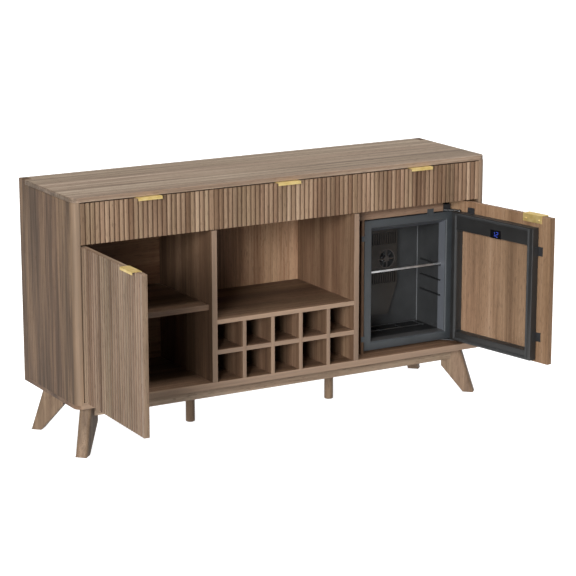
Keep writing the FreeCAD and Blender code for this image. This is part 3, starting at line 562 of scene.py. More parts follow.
@dataclass(frozen=True)
class WoodFinish(Finish):
    """Printed walnut board: streaks along the grain, fine lines and short pores.

    A board may have ribs with painted shade in their grooves, and grain of a second
    direction left of level_x and in front of level_y, with painted shade over that part.
    It may have a painted highlight on its front edge before edge_y, and painted shade on
    its ends past the places in ends_x.
    """

    grain: Axis
    seed: float
    tones: Tones
    band: float = 14.0
    run: float = 0.06
    band_detail: Pair = (3.0, 0.55)
    fine: Streak = Streak(0.022, 130.0, 4.0, 0.62)
    fine_share: float = 0.38
    tone_stops: Triple = (0.36, 0.50, 0.64)
    warm: Tuple[str, str] = ("EFE3D6", "E9E3D4")
    warm_reach: Pair = (0.35, 0.65)
    warm_band: float = 9.0
    warm_share: float = 0.8
    pore: Streak = Streak(0.07, 520.0, 1.0)
    pore_over: float = 0.63
    pore_colour: str = "4A3A30"
    pore_share: float = 0.4
    pore_bump: Pair = (0.25, 0.0004)
    level: Optional[Axis] = None
    level_x: float = -0.29
    level_y: float = 0.379
    # Painted shade multiplied over the part left of level_x, the back of the left bay.
    level_painted_shade: str = "BFB3AB"
    # Painted highlight: colour added on the front edge up to edge_y.
    edge: Optional[str] = None
    edge_y: float = 0.0125
    edge_soft: float = 0.0004
    # Painted shade on both ends of a long board, the top's side rims.
    ends: Optional[str] = None
    ends_x: Pair = (0.7465, 0.7492)
    ribs: bool = False
    # Painted shade in the grooves of the ribs.
    groove_painted_shade: str = "4A3428"
    groove_shade_share: float = 0.7
    rough: float = 0.5
    rough_pores: float = 0.12
    shine: float = 0.15

    def streaks(self, shade: Shade, grain: Axis) -> Tuple[Socket, Socket]:
        """Colour and pore mask of the grain in one direction.

        Args:
            shade: Material under construction.
            grain: Direction of the grain.

        Returns:
            The colour and the mask of the pores.
        """
        move = (self.seed, self.seed * 0.7, self.seed * 1.3)
        broad = Streak(self.run, self.band, *self.band_detail).lay(shade, grain, move)
        fine = self.fine.lay(shade, grain, move)
        mixed = broad * (1 - self.fine_share) + fine * self.fine_share
        stops = [(place, srgb(tone)) for place, tone in zip(self.tone_stops, self.tones)]
        hue = Streak(self.run, self.warm_band, 1.0).lay(shade, grain, (self.seed + 3.0, 1.0, 2.0))
        warm = shade.drift(hue, *self.warm, self.warm_reach)
        colour = shade.blend(self.warm_share, shade.ramp(mixed, stops), warm, "MULTIPLY")
        return colour, self.pore.lay(shade, grain, move) > self.pore_over

    def flute(self, shade: Shade, colour: Socket) -> Socket:
        """Tint each rib by its own value and paint shade into the grooves.

        Args:
            shade: Material under construction.
            colour: Colour of the plain board.

        Returns:
            Colour of the ribbed board.
        """
        places = ((0.0, "BFB0A3"), (0.35, "EFE4DB"), (0.65, "E6DFD3"), (1.0, "FFF8F1"))
        tint = shade.ramp(shade.attribute("rib"), [(at, srgb(code)) for at, code in places])
        colour = shade.blend(1.0, colour, tint, "MULTIPLY")
        # Painted shade: points deeper in a groove are darkened towards the groove colour.
        groove = shade.attribute("deep") * self.groove_shade_share
        return shade.blend(groove, colour, srgb(self.groove_painted_shade))

    def paint(self, shade: Shade) -> None:
        """Lay streaks and pores, then what this board has at its edges and ribs.

        Args:
            shade: Material under construction.
        """
        colour, pores = self.streaks(shade, self.grain)
        if self.level is not None:
            other, ticks = self.streaks(shade, self.level)
            # Painted shade: the part of the board left of level_x, behind the left bay, is
            # darkened.
            other = shade.blend(1.0, other, srgb(self.level_painted_shade), "MULTIPLY")
            face = shade.along(Axis.Y) < self.level_y
            side = (shade.along(Axis.X) < self.level_x) * face
            colour = shade.blend(side, colour, other)
            pores = pores * (1 - side) + ticks * side
        colour = shade.blend(pores * self.pore_share, colour, srgb(self.pore_colour))
        # Painted highlight: the edge colour is added on the front edge, in a band that fades out
        # by edge_y.
        if self.edge is not None:
            reach = (self.edge_y - self.edge_soft, self.edge_y)
            front = shade.drift(shade.along(Axis.Y), "FFFFFF", "000000", reach)
            colour = shade.blend(front, colour, srgb(self.edge), "ADD")
        # Painted shade: both ends of the board past ends_x are darkened.
        if self.ends is not None:
            off = shade.along(Axis.X) - float(SHIFT[0] * MM)
            reach = (self.ends_x[0] ** 2, self.ends_x[1] ** 2)
            tint = shade.drift(off * off, "FFFFFF", self.ends, reach)
            colour = shade.blend(1.0, colour, tint, "MULTIPLY")
        if self.ribs:
            colour = self.flute(shade, colour)
        shade.set(Base_Color=colour, Roughness=self.rough + pores * self.rough_pores)
        shade.set(Specular_IOR_Level=self.shine)
        shade.bump(pores * -1.0, *self.pore_bump)


@dataclass(frozen=True)
class MetalFinish(Finish):
    """Brushed or plain metal with a faint change of gloss."""

    colour: str
    worn: str
    rough: float
    lines: Axis = Axis.X
    metal: float = 1.0
    rough_lines: float = 0.12
    brush: Streak = Streak(0.02, 1800.0)
    cloud: float = 45.0
    brush_bump: Pair = (0.06, 0.0002)

    def paint(self, shade: Shade) -> None:
        """Lay brush lines under a tone that drifts.

        Args:
            shade: Material under construction.
        """
        brush = self.brush.lay(shade, self.lines)
        cloud = shade.noise(shade.place(), self.cloud)
        colour = shade.drift(cloud, self.worn, self.colour)
        rough = self.rough + brush * self.rough_lines
        shade.set(Base_Color=colour, Metallic=self.metal, Roughness=rough)
        shade.bump(brush, *self.brush_bump)


@dataclass(frozen=True)
class PlasticFinish(Finish):
    """Moulded plastic or painted sheet with a fine texture and a tone that drifts."""

    colour: str
    dark: str
    rough: float
    texture: float = 900.0
    cloud: float = 22.0
    rough_pebble: float = 0.1
    pebble_bump: Pair = (0.12, 0.0002)

    def painted_light_zones(self, shade: Shade, colour: Socket) -> Socket:
        """Colour with its painted light and shade; plain plastic has none."""
        return colour

    def paint(self, shade: Shade) -> None:
        """Lay the texture under a tone that drifts.

        Args:
            shade: Material under construction.
        """
        at = shade.place()
        cloud = shade.noise(at, self.cloud)
        pebble = shade.noise(at, self.texture, 1.0)
        colour = self.painted_light_zones(shade, shade.drift(cloud, self.dark, self.colour))
        shade.set(Base_Color=colour, Roughness=self.rough + pebble * self.rough_pebble)
        shade.bump(pebble, *self.pebble_bump)


@dataclass(frozen=True)
class LinerFinish(PlasticFinish):
    """Moulded fridge liner: painted light at the opening, painted shade on the ribs and on the
    floor further in.
    """

    mouth_painted_light: str = "5D6066"
    sill_painted_light: str = "434242"
    painted_shade_black: str = "131314"
    mouth_y: float = 0.108
    side_x: Pair = (0.3305, 0.6209)
    floor_z: float = 0.2174
    rib_top_z: float = 0.5
    back_y: float = 0.2356

    def painted_light_zones(self, shade: Shade, colour: Socket) -> Socket:
        """Paint light at the opening and the floor's front, and shade on the floor further in and
        on the ribs.

        Args:
            shade: Material under construction.
            colour: Colour of the walls.

        Returns:
            Colour of the whole liner.
        """
        x = shade.along(Axis.X)
        y = shade.along(Axis.Y)
        z = shade.along(Axis.Z)
        near = y < self.mouth_y
        low = z < self.floor_z
        between = (x > self.side_x[0]) * (x < self.side_x[1])
        rib = between * (1 - low) * (z < self.rib_top_z) * (y < self.back_y)
        # Painted light: paler colour near the opening and on the front of the floor; painted
        # shade: near black on the floor further in and on the ribs.
        colour = shade.blend(near, colour, srgb(self.mouth_painted_light))
        colour = shade.blend(near * low, colour, srgb(self.sill_painted_light))
        colour = shade.blend(low * (1 - near), colour, srgb(self.painted_shade_black))
        return shade.blend(rib, colour, srgb(self.painted_shade_black))


@dataclass(frozen=True)
class GlassFinish(Finish):
    """Clear plate that lets light through, with faint wipe marks in its gloss."""

    tint: str = "A9B4B4"
    dull: str = "9CA8A8"
    cover: float = 0.012
    rough: float = 0.03
    rough_wipe: float = 0.04
    wipe: Streak = Streak(0.3, 30.0)

    def paint(self, shade: Shade) -> None:
        """Lay the wipe marks on a nearly clear surface.

        Args:
            shade: Material under construction.
        """
        smear = self.wipe.lay(shade, Axis.Z)
        colour = shade.drift(smear, self.dull, self.tint)
        rough = self.rough + smear * self.rough_wipe
        shade.set(Base_Color=colour, Roughness=rough, Alpha=self.cover)


@dataclass(frozen=True)
class GlowFinish(Finish):
    """Surface that gives off light of its own, in a tone that drifts."""

    colour: str
    dark: str
    strength: float
    cloud: float
    detail: float = 2.0
    rough: float = 0.5

    def paint(self, shade: Shade) -> None:
        """Give the surface and its light the same tone.

        Args:
            shade: Material under construction.
        """
        cloud = shade.noise(shade.place(), self.cloud, self.detail)
        glow = shade.drift(cloud, self.dark, self.colour)
        shade.set(Base_Color=glow, Emission_Color=glow, Roughness=self.rough)
        shade.set(Emission_Strength=self.strength)


PALE = ("816F61", "A89585", "C6B4A4")
DEEP = ("4F3E32", "705A4A", "8D7664")
# Darker palette of the side boards and rear posts: painted shade on the sides.
SHADY = ("3A2919", "614D3C", "8B735D")
GREYED = ("685C54", "908275", "B0A398")
# edge= adds a painted highlight on the front edges of these boards.
FINISHES: Tuple[Finish, ...] = (
    WoodFinish("wood_side", Axis.Z, 1.0, SHADY, 30.0, edge="706356", edge_y=0.036, edge_soft=0.02),
    WoodFinish("wood_top", Axis.X, 2.0, GREYED, 36.0, 0.01, edge="534235", ends="CFCAC5"),
    WoodFinish("wood_level", Axis.X, 3.1, DEEP, edge="7A6C5F"),
    WoodFinish("wood_shelf", Axis.X, 3.6, DEEP, edge="7A6C5F", edge_y=0.0345),
    WoodFinish("wood_base", Axis.X, 4.7, DEEP, edge="7A6C5F"),
    WoodFinish("wood_apron", Axis.X, 4.2, PALE),
    WoodFinish("wood_filler", Axis.X, 4.2, ("655144", "846C5D", "9B8373")),
    WoodFinish("wood_divider", Axis.Z, 5.3, DEEP, edge="6C6055"),
    # Lighter copy of the divider wood for the right divider: painted light on the niche's right
    # wall.
    WoodFinish("wood_wall", Axis.Z, 5.9, ("564235", "775F4E", "937B67"), edge="645B52"),
    WoodFinish("wood_leg", Axis.Z, 7.3, ("6D5B50", "837060", "998573"), 45.0),
    WoodFinish("wood_fluted", Axis.Z, 7.7, PALE, ribs=True),
    WoodFinish("wood_leaf", Axis.Z, 7.4, ("78695E", "9D8F83", "BCAEA3"), ribs=True),
    WoodFinish("wood_panel", Axis.Z, 2.7, ("947E6B", "BCA590", "D5C2B0"), ribs=True),
    WoodFinish("wood_back", Axis.Z, 8.8, ("7D6350", "AE8D75", "D2B398"), level=Axis.X),
    WoodFinish("wood_box", Axis.Y, 9.4, ("9B8566", "B7A382", "CBB999")),
    MetalFinish("brass", "DCC486", "CBAF68", 0.38, metal=0.6),
    MetalFinish("bright_steel", "C9CACB", "A9ABAD", 0.3),
    MetalFinish("rail_steel", "A8ABAD", "8A8D90", 0.38, Axis.Y),
    MetalFinish("wire_chrome", "8E9092", "77797B", 0.3),
    MetalFinish("sink_metal", "A6A8A9", "8E9091", 0.4, Axis.Z),
    PlasticFinish("frame_plastic", "393D40", "33373A", 0.42),
    PlasticFinish("door_plastic", "232323", "1E1E1E", 0.4),
    PlasticFinish("black_plastic", "272729", "1F1F20", 0.45),
    LinerFinish("liner_plastic", "323334", "2B2C2D", 0.38),
    # Lighter plastic of the corner coves: a painted highlight line in the liner's back corners.
    PlasticFinish("liner_corner_highlight", "4C4E50", "444648", 0.4),
    PlasticFinish("cover_plastic", "282420", "221E1B", 0.34),
    PlasticFinish("guard_plastic", "484441", "3F3B39", 0.28),
    PlasticFinish("shell_paint", "2E2F31", "27282A", 0.5),
    PlasticFinish("foam", "D9CFA8", "CBBF94", 0.85, 400.0),
    PlasticFinish("seal_rubber", "2C2D2E", "242526", 0.6),
    PlasticFinish("screen", "0B0C12", "07080C", 0.12, 200.0),
    GlassFinish("clear_glass"),
    GlowFinish("lit_segments", "3348B0", "2A3C98", 0.7, 300.0, 1.0),
)


@dataclass(frozen=True)
class Bevelled:
    """Edge rounding of a piece, its width in millimetres."""

    width: float
    segments: int = 2
    weighted: bool = False


@dataclass(frozen=True)
class Body:
    """Body of the frame on which pieces ride, with its rest pose and the materials."""

    name: str
    frame: Dict[str, Any]
    materials: Dict[str, Any]
    hang: Hang = STILL

    def put(
        self,
        name: str,
        shell: Shell,
        finish: str,
        slot: str,
        node: str = "",
        bevel: Optional[Bevelled] = None,
    ) -> Any:
        """Turn a shell into a piece of the model.

        Args:
            name: Name of the piece.
            shell: Its surface in cabinet millimetres.
            finish: Name of its finish.
            slot: Material slot of the record; not used.
            node: Frame node that it stands for, if any.
            bevel: Edge rounding, if any.

        Returns:
            The object.
        """
        mesh = bpy.data.meshes.new(name)
        mesh.from_pydata(self.hang.place(shell.points).tolist(), [], shell.faces())
        for key in ("rib", "deep"):
            values = getattr(shell, key)
            if values is not None:
                layer = mesh.attributes.new(key, "FLOAT", "POINT")
                layer.data.foreach_set("value", values.astype(np.float32))
        mesh.polygons.foreach_set("use_smooth", np.ones(len(mesh.polygons), dtype=bool))
        mesh.set_sharp_from_angle(angle=math.radians(SMOOTH_UNDER))
        mesh.validate()
        piece = bpy.data.objects.new(name, mesh)
        bpy.context.scene.collection.objects.link(piece)
        mesh.materials.append(self.materials[finish])
        if bevel is not None:
            rounding = piece.modifiers.new("edges", "BEVEL")
            rounding.width = bevel.width * MM
            rounding.segments = bevel.segments
            rounding.limit_method = "WEIGHT" if bevel.weighted else "ANGLE"
            rounding.angle_limit = math.radians(BEVEL_OVER)
            rounding.harden_normals = True
        if node:
            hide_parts(node)
        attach(piece, self.name)
        LOG.info("piece %s on %s", name, self.name)
        return piece

    def dress(self, finishes: Dict[str, str]) -> None:
        """Give frame nodes that stay their finishes.

        Args:
            finishes: Name of the finish of each node.
        """
        for name, finish in finishes.items():
            node = self.frame["nodes"][name]
            if not node.material_slots:
                node.data.materials.append(self.materials[finish])
            for place in node.material_slots:
                place.material = self.materials[finish]
            LOG.info("node %s", name)


def scatter(index: np.ndarray, seed: float) -> np.ndarray:
    """Value from 0 to 1 for each index that looks random: the fraction of a large sine."""
    wave = np.sin(index * 12.9898 + seed * 78.233) * 43758.5453
    return wave - np.floor(wave)


@dataclass
class FlutedFront:
    """Plan of a board with rounded ribs on its front face."""

    x: Pair
    seed: float
    front: float = -200.0
    back: float = -182.0
    pitch: float = 16.2
    groove: float = 3.8
    depth: float = 3.0
    shoulder: Tuple[Pair, ...] = ((0.1, 1.1), (0.5, 0.4), (1.3, 0.0))

    def comb(self) -> Ribbed:
        """Front line as whole ribs.

        One rib is a fixed row of points across the pitch: up the groove wall, round the
        shoulder, over the flat and down again. Rib i is that row moved by i pitches.

        Returns:
            The line, the tint value of each point and its depth in the groove, 0 to 1.
        """
        start, end = self.x
        count = int(round((end - start) / self.pitch))
        pitch = (end - start) / count
        rise = np.array([(0.0, self.depth), *self.shoulder])
        rise[:, 0] += self.groove / 2
        fall = rise[::-1].copy()
        fall[:, 0] = pitch - fall[:, 0]
        row = np.concatenate([rise, fall])
        index = np.arange(count)
        x = start + row[None, :, 0] + pitch * index[:, None]
        y = np.broadcast_to(row[None, :, 1], x.shape)
        tint = np.broadcast_to(scatter(index, self.seed)[:, None], x.shape)
        within = slice(len(self.shoulder), -len(self.shoulder))
        line = np.stack([x, self.front + y], axis=-1).reshape(-1, 2)[within]
        line[0, 0] = start
        line[-1, 0] = end
        return line, tint.reshape(-1)[within], (y / self.depth).reshape(-1)[within]

    def shell(self, z: Pair) -> Shell:
        """Board with ribs at the front and a flat back, its plan carried up.

        Args:
            z: Lower and upper end.

        Returns:
            Closed shell with the tint and depth of each point.
        """
        line, rib, deep = self.comb()
        tail = np.array([[self.x[1], self.back], [self.x[0], self.back]])
        made = sweep(np.concatenate([line, tail]), z, Axis.Z)
        made.rib = np.tile(np.concatenate([rib, [rib[-1], rib[0]]]), 2)
        made.deep = np.tile(np.concatenate([deep, np.zeros(2)]), 2)
        return made


@dataclass
class Pull:
    """Bent brass strip over the top edge of a front, with two screws."""

    body: Body
    name: str
    centre: float
    top: float
    reach: float
    length: float = 82.0
    thick: float = 2.0
    lip: float = 9.0
    leaf: float = 24.0
    bend: float = 1.6
    bend_steps: int = 4
    edge: Bevelled = Bevelled(0.35)
    front: float = -200.0
    back: float = -182.0
    screw_end: float = 12.0
    screw_drop: float = 13.0
    screw_steps: int = 20
    screw: Tuple[Pair, ...] = ((3.4, 0.0), (3.3, 0.4), (2.6, 0.9), (1.2, 1.2), (0.5, 0.7))

    def build(self) -> None:
        """Carry the bent strip's section along the front and turn its screw heads."""
        t = self.thick
        rear = self.back + t
        tip = self.front - self.reach
        top = self.top
        corners = [
            (self.back, top - self.leaf, 0), (rear, top - self.leaf, 0),
            (rear, top + t, self.bend), (tip, top + t, self.bend),
            (tip, top + t - self.lip, 0), (tip + t, top + t - self.lip, 0),
            (tip + t, top, 0), (self.back, top, 0),
        ]
        span = (self.centre - self.length / 2, self.centre + self.length / 2)
        strip = sweep(rounded(corners, self.bend_steps), span, Axis.X)
        self.body.put(self.name + "_strip", strip, "brass", "pull_brass", self.name, self.edge)
        spots = (span[0] + self.screw_end, span[1] - self.screw_end)
        head = np.array(self.screw)
        z = top - self.screw_drop
        heads = [lathe(head, (x, rear, z), Axis.Y, self.screw_steps) for x in spots]
        self.body.put(self.name + "_screws", merged(heads), "brass", "pull_brass")


@dataclass
class Carcass:
    """Boards that stand still: top, sides, bottom, dividers, shelves and legs."""

    body: Body
    half: float = 750.0
    inner: float = 725.0
    front: float = -200.0
    rear: float = 200.0
    stile: float = 155.0
    back: float = 165.0
    back_t: float = 6.0
    top: Pair = (800.0, 815.0)
    top_round: float = 26.0
    side: Pair = (170.5, 800.0)
    side_round: float = 22.0
    round_steps: int = 12
    base: Pair = (157.5, 170.5)
    floor: float = 178.5
    wear: float = 0.9
    dividers: Tuple[Pair, Pair] = ((-279.995, -261.995), (241.01, 259.01))
    notch: Pair = (-179.0, 667.5)
    left_shelf: Tuple[Pair, Pair, Pair] = ((-724.0, -280.995), (-178.0, 164.0), (410.01, 428.01))
    niche: Pair = (366.0, 380.0)
    rack: Pair = (268.0, 282.0)
    cells: int = 5
    upright: float = 12.7
    apron: Tuple[Pair, Pair] = ((-140.0, -122.0), (113.0, 157.5))
    apron_reach: float = 524.02
    foot: Pair = (721.0, 169.4)
    leg_t: float = 39.0
    wedge: Tuple[Pair, ...] = (
        (18.0, 0.0), (-32.5, 157.5), (-94.5, 157.5), (-94.5, 88.0), (-18.0, 0.0)
    )
    post: Pair = (261.9975, -7.0)
    turned: Tuple[Pair, ...] = (
        (12.4, 0.0), (13.4, 0.4), (14.6, 1.4), (15.0, 2.4), (15.0, 157.5)
    )
    turned_steps: int = 48
    top_edge: Bevelled = Bevelled(1.6, 3)
    side_edge: Bevelled = Bevelled(0.6)
    stile_edge: Bevelled = Bevelled(0.8)
    apron_edge: Bevelled = Bevelled(1.5, 3)
    shelf_edge: Bevelled = Bevelled(0.9)
    rack_edge: Bevelled = Bevelled(0.7)
    leg_edge: Bevelled = Bevelled(12.0, 7, True)
    leg_rises: Pair = (0.1, 0.002)
    leg_weights: Triple = (1.0, 0.25, 0.07)

    def plate(self) -> np.ndarray:
        """Plan of the top and of the bottom lip: round at the front, notched at the rear.

        Returns:
            Closed outline of shape (n, 2).
        """
        rear = [
            (self.half, self.stile, 0), (self.inner, self.stile, 0), (self.inner, self.rear, 0)
        ]
        front = [(s * self.half, self.front, self.top_round) for s in (-1, 1)]
        return rounded(front + rear + [(-x, y, 0) for x, y, _ in rear[::-1]], self.round_steps)

    def bottom(self) -> Shell:
        """Bottom board: a lip under the sides and a step between them, flush in front.

        The lip is its plan lofted up, drawn in by the share of the worn lower edge at the
        first ring. The step is a section with a worn front edge, carried along X.

        Returns:
            The two as one shell, with no gap in their front face.
        """
        wear = self.wear
        plan = self.plate()
        drawn = plan * (1 - wear / np.array([self.half, -self.front]))
        z0, z1 = self.base
        lip = stacked([(z0, drawn), (z0 + wear, plan), (z1, plan)])
        rear = self.back + self.back_t
        section = [
            (self.front, z1), (rear, z1), (rear, self.floor), (self.front + wear, self.floor),
            (self.front + wear * 0.3, self.floor - wear * 0.3), (self.front, self.floor - wear),
        ]
        step = sweep(np.array(section), (-self.inner, self.inner), Axis.X)
        return merged([lip, step])

    def build_outside(self) -> None:
        """Top, sides, rear stiles, bottom and apron."""
        put = self.body.put
        top = sweep(self.plate(), self.top, Axis.Z)
        put("top_board", top, "wood_top", "body_wood", "top_panel", self.top_edge)
        for name, sign in (("left", -1.0), ("right", 1.0)):
            corners = [
                (sign * self.half, self.front, self.side_round),
                (sign * self.inner, self.front, 0),
                (sign * self.inner, self.stile, 0),
                (sign * self.half, self.stile, 0),
            ]
            side = sweep(rounded(corners, self.round_steps), self.side, Axis.Z)
            node = name + "_side_panel"
            put(name + "_side_board", side, "wood_side", "body_wood", node, self.side_edge)
        depth = (self.stile, self.rear)
        height = (self.base[0], self.top[1])
        posts = [board((s * self.inner, s * self.half), depth, height) for s in (-1.0, 1.0)]
        put("rear_posts", merged(posts), "wood_side", "body_wood", "rear_stiles", self.stile_edge)
        put("bottom_board", self.bottom(), "wood_base", "body_wood", "bottom_panel")
        (y0, y1), z = self.apron
        reach = self.apron_reach
        plan = [[-reach + y0, y0], [reach - y0, y0], [reach - y1, y1], [-reach + y1, y1]]
        apron = sweep(np.array(plan), z, Axis.Z)
        put(
            "front_apron_board", apron, "wood_apron", "body_wood", "front_apron",
            self.apron_edge,
        )

    def build_inside(self) -> None:
        """Dividers, shelves and the bottle rack."""
        put = self.body.put
        notch_y, notch_z = self.notch
        section = [
            (self.front, self.floor), (self.back, self.floor), (self.back, self.top[0]),
            (notch_y, self.top[0]), (notch_y, notch_z), (self.front, notch_z),
        ]
        woods = ("wood_divider", "wood_wall")
        for name, x, wood in zip(("left_divider", "right_divider"), self.dividers, woods):
            divider = sweep(np.array(section), x, Axis.X)
            put(name + "_board", divider, wood, "body_wood", name, self.shelf_edge)
        x0 = self.dividers[0][1]
        x1 = self.dividers[1][0]
        depth = (self.front, self.back)
        cell = (x1 - x0 - (self.cells - 1) * self.upright) / self.cells
        starts = x0 + (cell + self.upright) * np.arange(self.cells)
        height = (self.floor, self.niche[0])
        left = board(*self.left_shelf)
        niche = board((x0, x1), depth, self.niche)
        rack = merged([board((a, a + cell), depth, self.rack) for a in starts])
        posts = merged([board((a - self.upright, a), depth, height) for a in starts[1:]])
        boards = (
            ("left_shelf_board", left, "wood_shelf", "left_shelf", self.shelf_edge),
            ("niche_shelf_board", niche, "wood_level", "niche_shelf", self.shelf_edge),
            ("rack_shelf_boards", rack, "wood_level", "rack_shelf", self.rack_edge),
            ("rack_upright_boards", posts, "wood_divider", "rack_uprights", self.rack_edge),
        )
        for name, shell, wood, node, edge in boards:
            put(name, shell, wood, "inner_wood", node, edge)

    def leg(self, sign_x: float, sign_y: float) -> Shell:
        """Wedge leg: its side profile carried across the thickness, turned to the corner.

        Args:
            sign_x: Left or right.
            sign_y: Front or rear.

        Returns:
            Closed shell.
        """
        made = sweep(np.array(self.wedge), (-self.leg_t / 2, self.leg_t / 2), Axis.Y)
        centre = np.array([sign_x * self.foot[0], sign_y * self.foot[1], 0.0])
        made.points = made.points @ turning(math.atan2(sign_y, sign_x)).T + centre
        return made.outward()

    def weigh_edges(self, mesh: Any) -> None:
        """Weigh the bevel of the legs' edges by how far each one rises.

        An edge that rises over the whole leg is rounded most, one that rises over a part
        of it less, and a level one least. Rises are in metres.

        Args:
            mesh: Mesh of the legs.
        """
        whole, part = self.leg_rises
        most, less, least = self.leg_weights
        ends = np.empty(len(mesh.edges) * 2, dtype=np.int64)
        mesh.edges.foreach_get("vertices", ends)
        flat = np.empty(len(mesh.vertices) * 3)
        mesh.vertices.foreach_get("co", flat)
        height = flat.reshape(-1, 3)[ends.reshape(-1, 2), 2]
        rise = np.abs(height[:, 0] - height[:, 1])
        chosen = np.select([rise > whole, rise > part], [most, less], least)
        layer = mesh.attributes.new("bevel_weight_edge", "FLOAT", "EDGE")
        layer.data.foreach_set("value", chosen.astype(np.float32))

    def build_legs(self) -> None:
        """Four wedge legs and two round ones."""
        wedges = [self.leg(a, b) for a in (-1.0, 1.0) for b in (-1.0, 1.0)]
        piece = self.body.put(
            "wedge_legs", merged(wedges), "wood_leg", "body_wood", "corner_legs", self.leg_edge
        )
        self.weigh_edges(piece.data)
        x, y = self.post
        line = np.array(self.turned)
        posts = [lathe(line, (a, y, 0.0), Axis.Z, self.turned_steps) for a in (-x, x)]
        self.body.put("round_legs", merged(posts), "wood_leg", "body_wood", "centre_legs")

    def build(self) -> None:
        """Make all boards and legs, and finish the nodes that stay."""
        self.build_outside()
        self.build_inside()
        self.build_legs()
        self.body.dress({
            "back_panel": "wood_back",
            "drawer_decks": "wood_level",
            "shelf_pins": "bright_steel",
            "drawer_rails": "rail_steel",
            "left_hinge_brackets": "bright_steel",
            "hinge_pins": "bright_steel",
            "fridge_filler_rail": "wood_filler",
            "fridge_liner_board": "wood_divider",
        })


@dataclass
class Drawer:
    """One drawer: fluted front, pull, and the box and slides behind."""

    body: Body
    x: Pair
    seed: float
    z: Pair = (670.5, 797.0)
    pull_reach: float = 18.0

    def build(self) -> None:
        """Make the front and pull and finish the nodes behind."""
        name = self.body.name
        front = FlutedFront(self.x, self.seed).shell(self.z)
        self.body.put(name + "_ribs", front, "wood_fluted", "fluted_wood", name + "_front")
        middle = (self.x[0] + self.x[1]) / 2
        Pull(self.body, name + "_pull", middle, self.z[1], self.pull_reach).build()
        self.body.dress({name + "_box": "wood_box", name + "_slides": "rail_steel"})


@dataclass
class LeftDoor:
    """Left fluted door, whose round hinge edge has a notch for each hinge."""

    body: Body
    free: float = -281.495
    z: Pair = (182.0, 665.5)
    seed: float = 4.0
    radius: float = 9.0
    arc_points: int = 25
    rib_clear: float = 1.0
    notch_half: float = 6.0
    notch_h: float = 7.0
    hinge_end: float = 80.0
    flat_tint: float = 0.5
    pull_end: float = 81.0
    pull_reach: float = 12.0

    def ring(self, notched: bool) -> Ribbed:
        """Plan outline: ribs, flat back, and a half circle round the hinge line.

        In a notched ring the rear part of the half circle gives way to the hinge tongue:
        those points stand on the notch's two walls instead.

        Args:
            notched: Whether this ring passes through a hinge notch.

        Returns:
            The outline with the tint and depth of each point.
        """
        x = self.body.hang.x
        y = self.body.hang.y
        line, rib, deep = FlutedFront((x - self.radius, self.free), self.seed).comb()
        keep = line[:, 0] > x + self.rib_clear
        angle = np.linspace(0.5 * np.pi, 1.5 * np.pi, self.arc_points)
        arc = np.array([x, y]) + self.radius * circle(angle)
        back = y + self.radius
        wall = x + self.notch_half
        if notched:
            floor = y - self.notch_half
            last = int(np.sum(arc[:, 1] > floor)) - 1
            arc[:last, 0] = wall
            arc[:last, 1] = back + np.linspace(0.0, 1.0, last) * (floor - back)
            arc[last] = (x - math.sqrt(self.radius ** 2 - self.notch_half ** 2), floor)
        rest = np.concatenate([[[self.free, back], [wall, back]], arc])
        return (
            np.concatenate([line[keep], rest]),
            np.concatenate([rib[keep], np.full(len(rest), self.flat_tint)]),
            np.concatenate([deep[keep], np.zeros(len(rest))]),
        )

    def build(self) -> None:
        """Loft the door through full and notched rings, and add its pull."""
        full, rib, deep = self.ring(False)
        cut = self.ring(True)[0]
        z0, z1 = self.z
        levels = [(z0, full)]
        for middle in (z0 + self.hinge_end, z1 - self.hinge_end):
            low = middle - self.notch_h / 2
            high = middle + self.notch_h / 2
            levels += [(low, full), (low, cut), (high, cut), (high, full)]
        levels.append((z1, full))
        count = len(levels)
        leaf = weld(stacked(levels), np.tile(rib, count), np.tile(deep, count))
        self.body.put("left_door_ribs", leaf, "wood_leaf", "fluted_wood", "left_door")
        centre = self.free - self.pull_end
        Pull(self.body, "left_door_pull", centre, z1, self.pull_reach).build()


@dataclass
class Fridge:
    """Built-in fridge: front frame and the nodes inside it."""

    body: Body
    outer: Rect = (313.01, 658.0, 188.5, 627.0)
    inner: Rect = (341.01, 632.0, 217.0, 599.0)
    y: Pair = (-148.0, -142.0)
    back: float = 23.99
    ceiling: float = 578.0
    cove: float = 2.4
    cove_points: int = 9

    def coves(self) -> Shell:
        """Hollow corner fillets of the liner, one at each end of its back wall.

        The section is the corner and the arc about the point one radius in from both
        walls, carried up from the floor to the ceiling.

        Returns:
            Both fillets as one shell.
        """
        arc = self.cove * (1 - circle(np.linspace(0.0, 0.5 * np.pi, self.cove_points)))
        bend = np.concatenate([np.zeros((1, 2)), arc])
        made: List[Shell] = []
        for x, sign in ((self.inner[0], 1.0), (self.inner[1], -1.0)):
            section = np.array([x, self.back]) + bend * np.array([sign, -1.0])
            made.append(sweep(section, (self.inner[2], self.ceiling), Axis.Z))
        return merged(made)

    def build(self) -> None:
        """Make the front frame and the liner's corners, and finish the nodes that stay."""
        y0, y1 = self.y
        profile = [
            (0.0, y1), (0.0, y0 + 1.2), (0.04, y0 + 0.3), (0.09, y0), (0.82, y0),
            (0.88, y0 + 0.4), (0.95, y0 + 2.0), (1.0, y0 + 4.0), (1.0, y1),
        ]
        ring = frame_ring(self.outer, self.inner, np.array(profile))
        put = self.body.put
        put("fridge_front_frame", ring, "frame_plastic", "frame_plastic", "fridge_frame")
        # The coves take a lighter plastic, a painted highlight along the corners.
        put("liner_corner_coves", self.coves(), "liner_corner_highlight", "liner_plastic")
        self.body.dress({
            "fridge_shell": "shell_paint",
            "fridge_insulation": "foam",
            "fridge_liner": "liner_plastic",
            "evaporator_cover": "cover_plastic",
            "fan_guard": "guard_plastic",
            "fan_rotor": "black_plastic",
            "fan_motor": "bright_steel",
            "glass_shelf": "clear_glass",
            "shelf_trim": "bright_steel",
            "floor_grid": "wire_chrome",
            "fridge_feet": "black_plastic",
            "mount_tabs": "frame_plastic",
            "fridge_hinge_brackets": "black_plastic",
            "cooling_module": "sink_metal",
            "control_box": "black_plastic",
        })


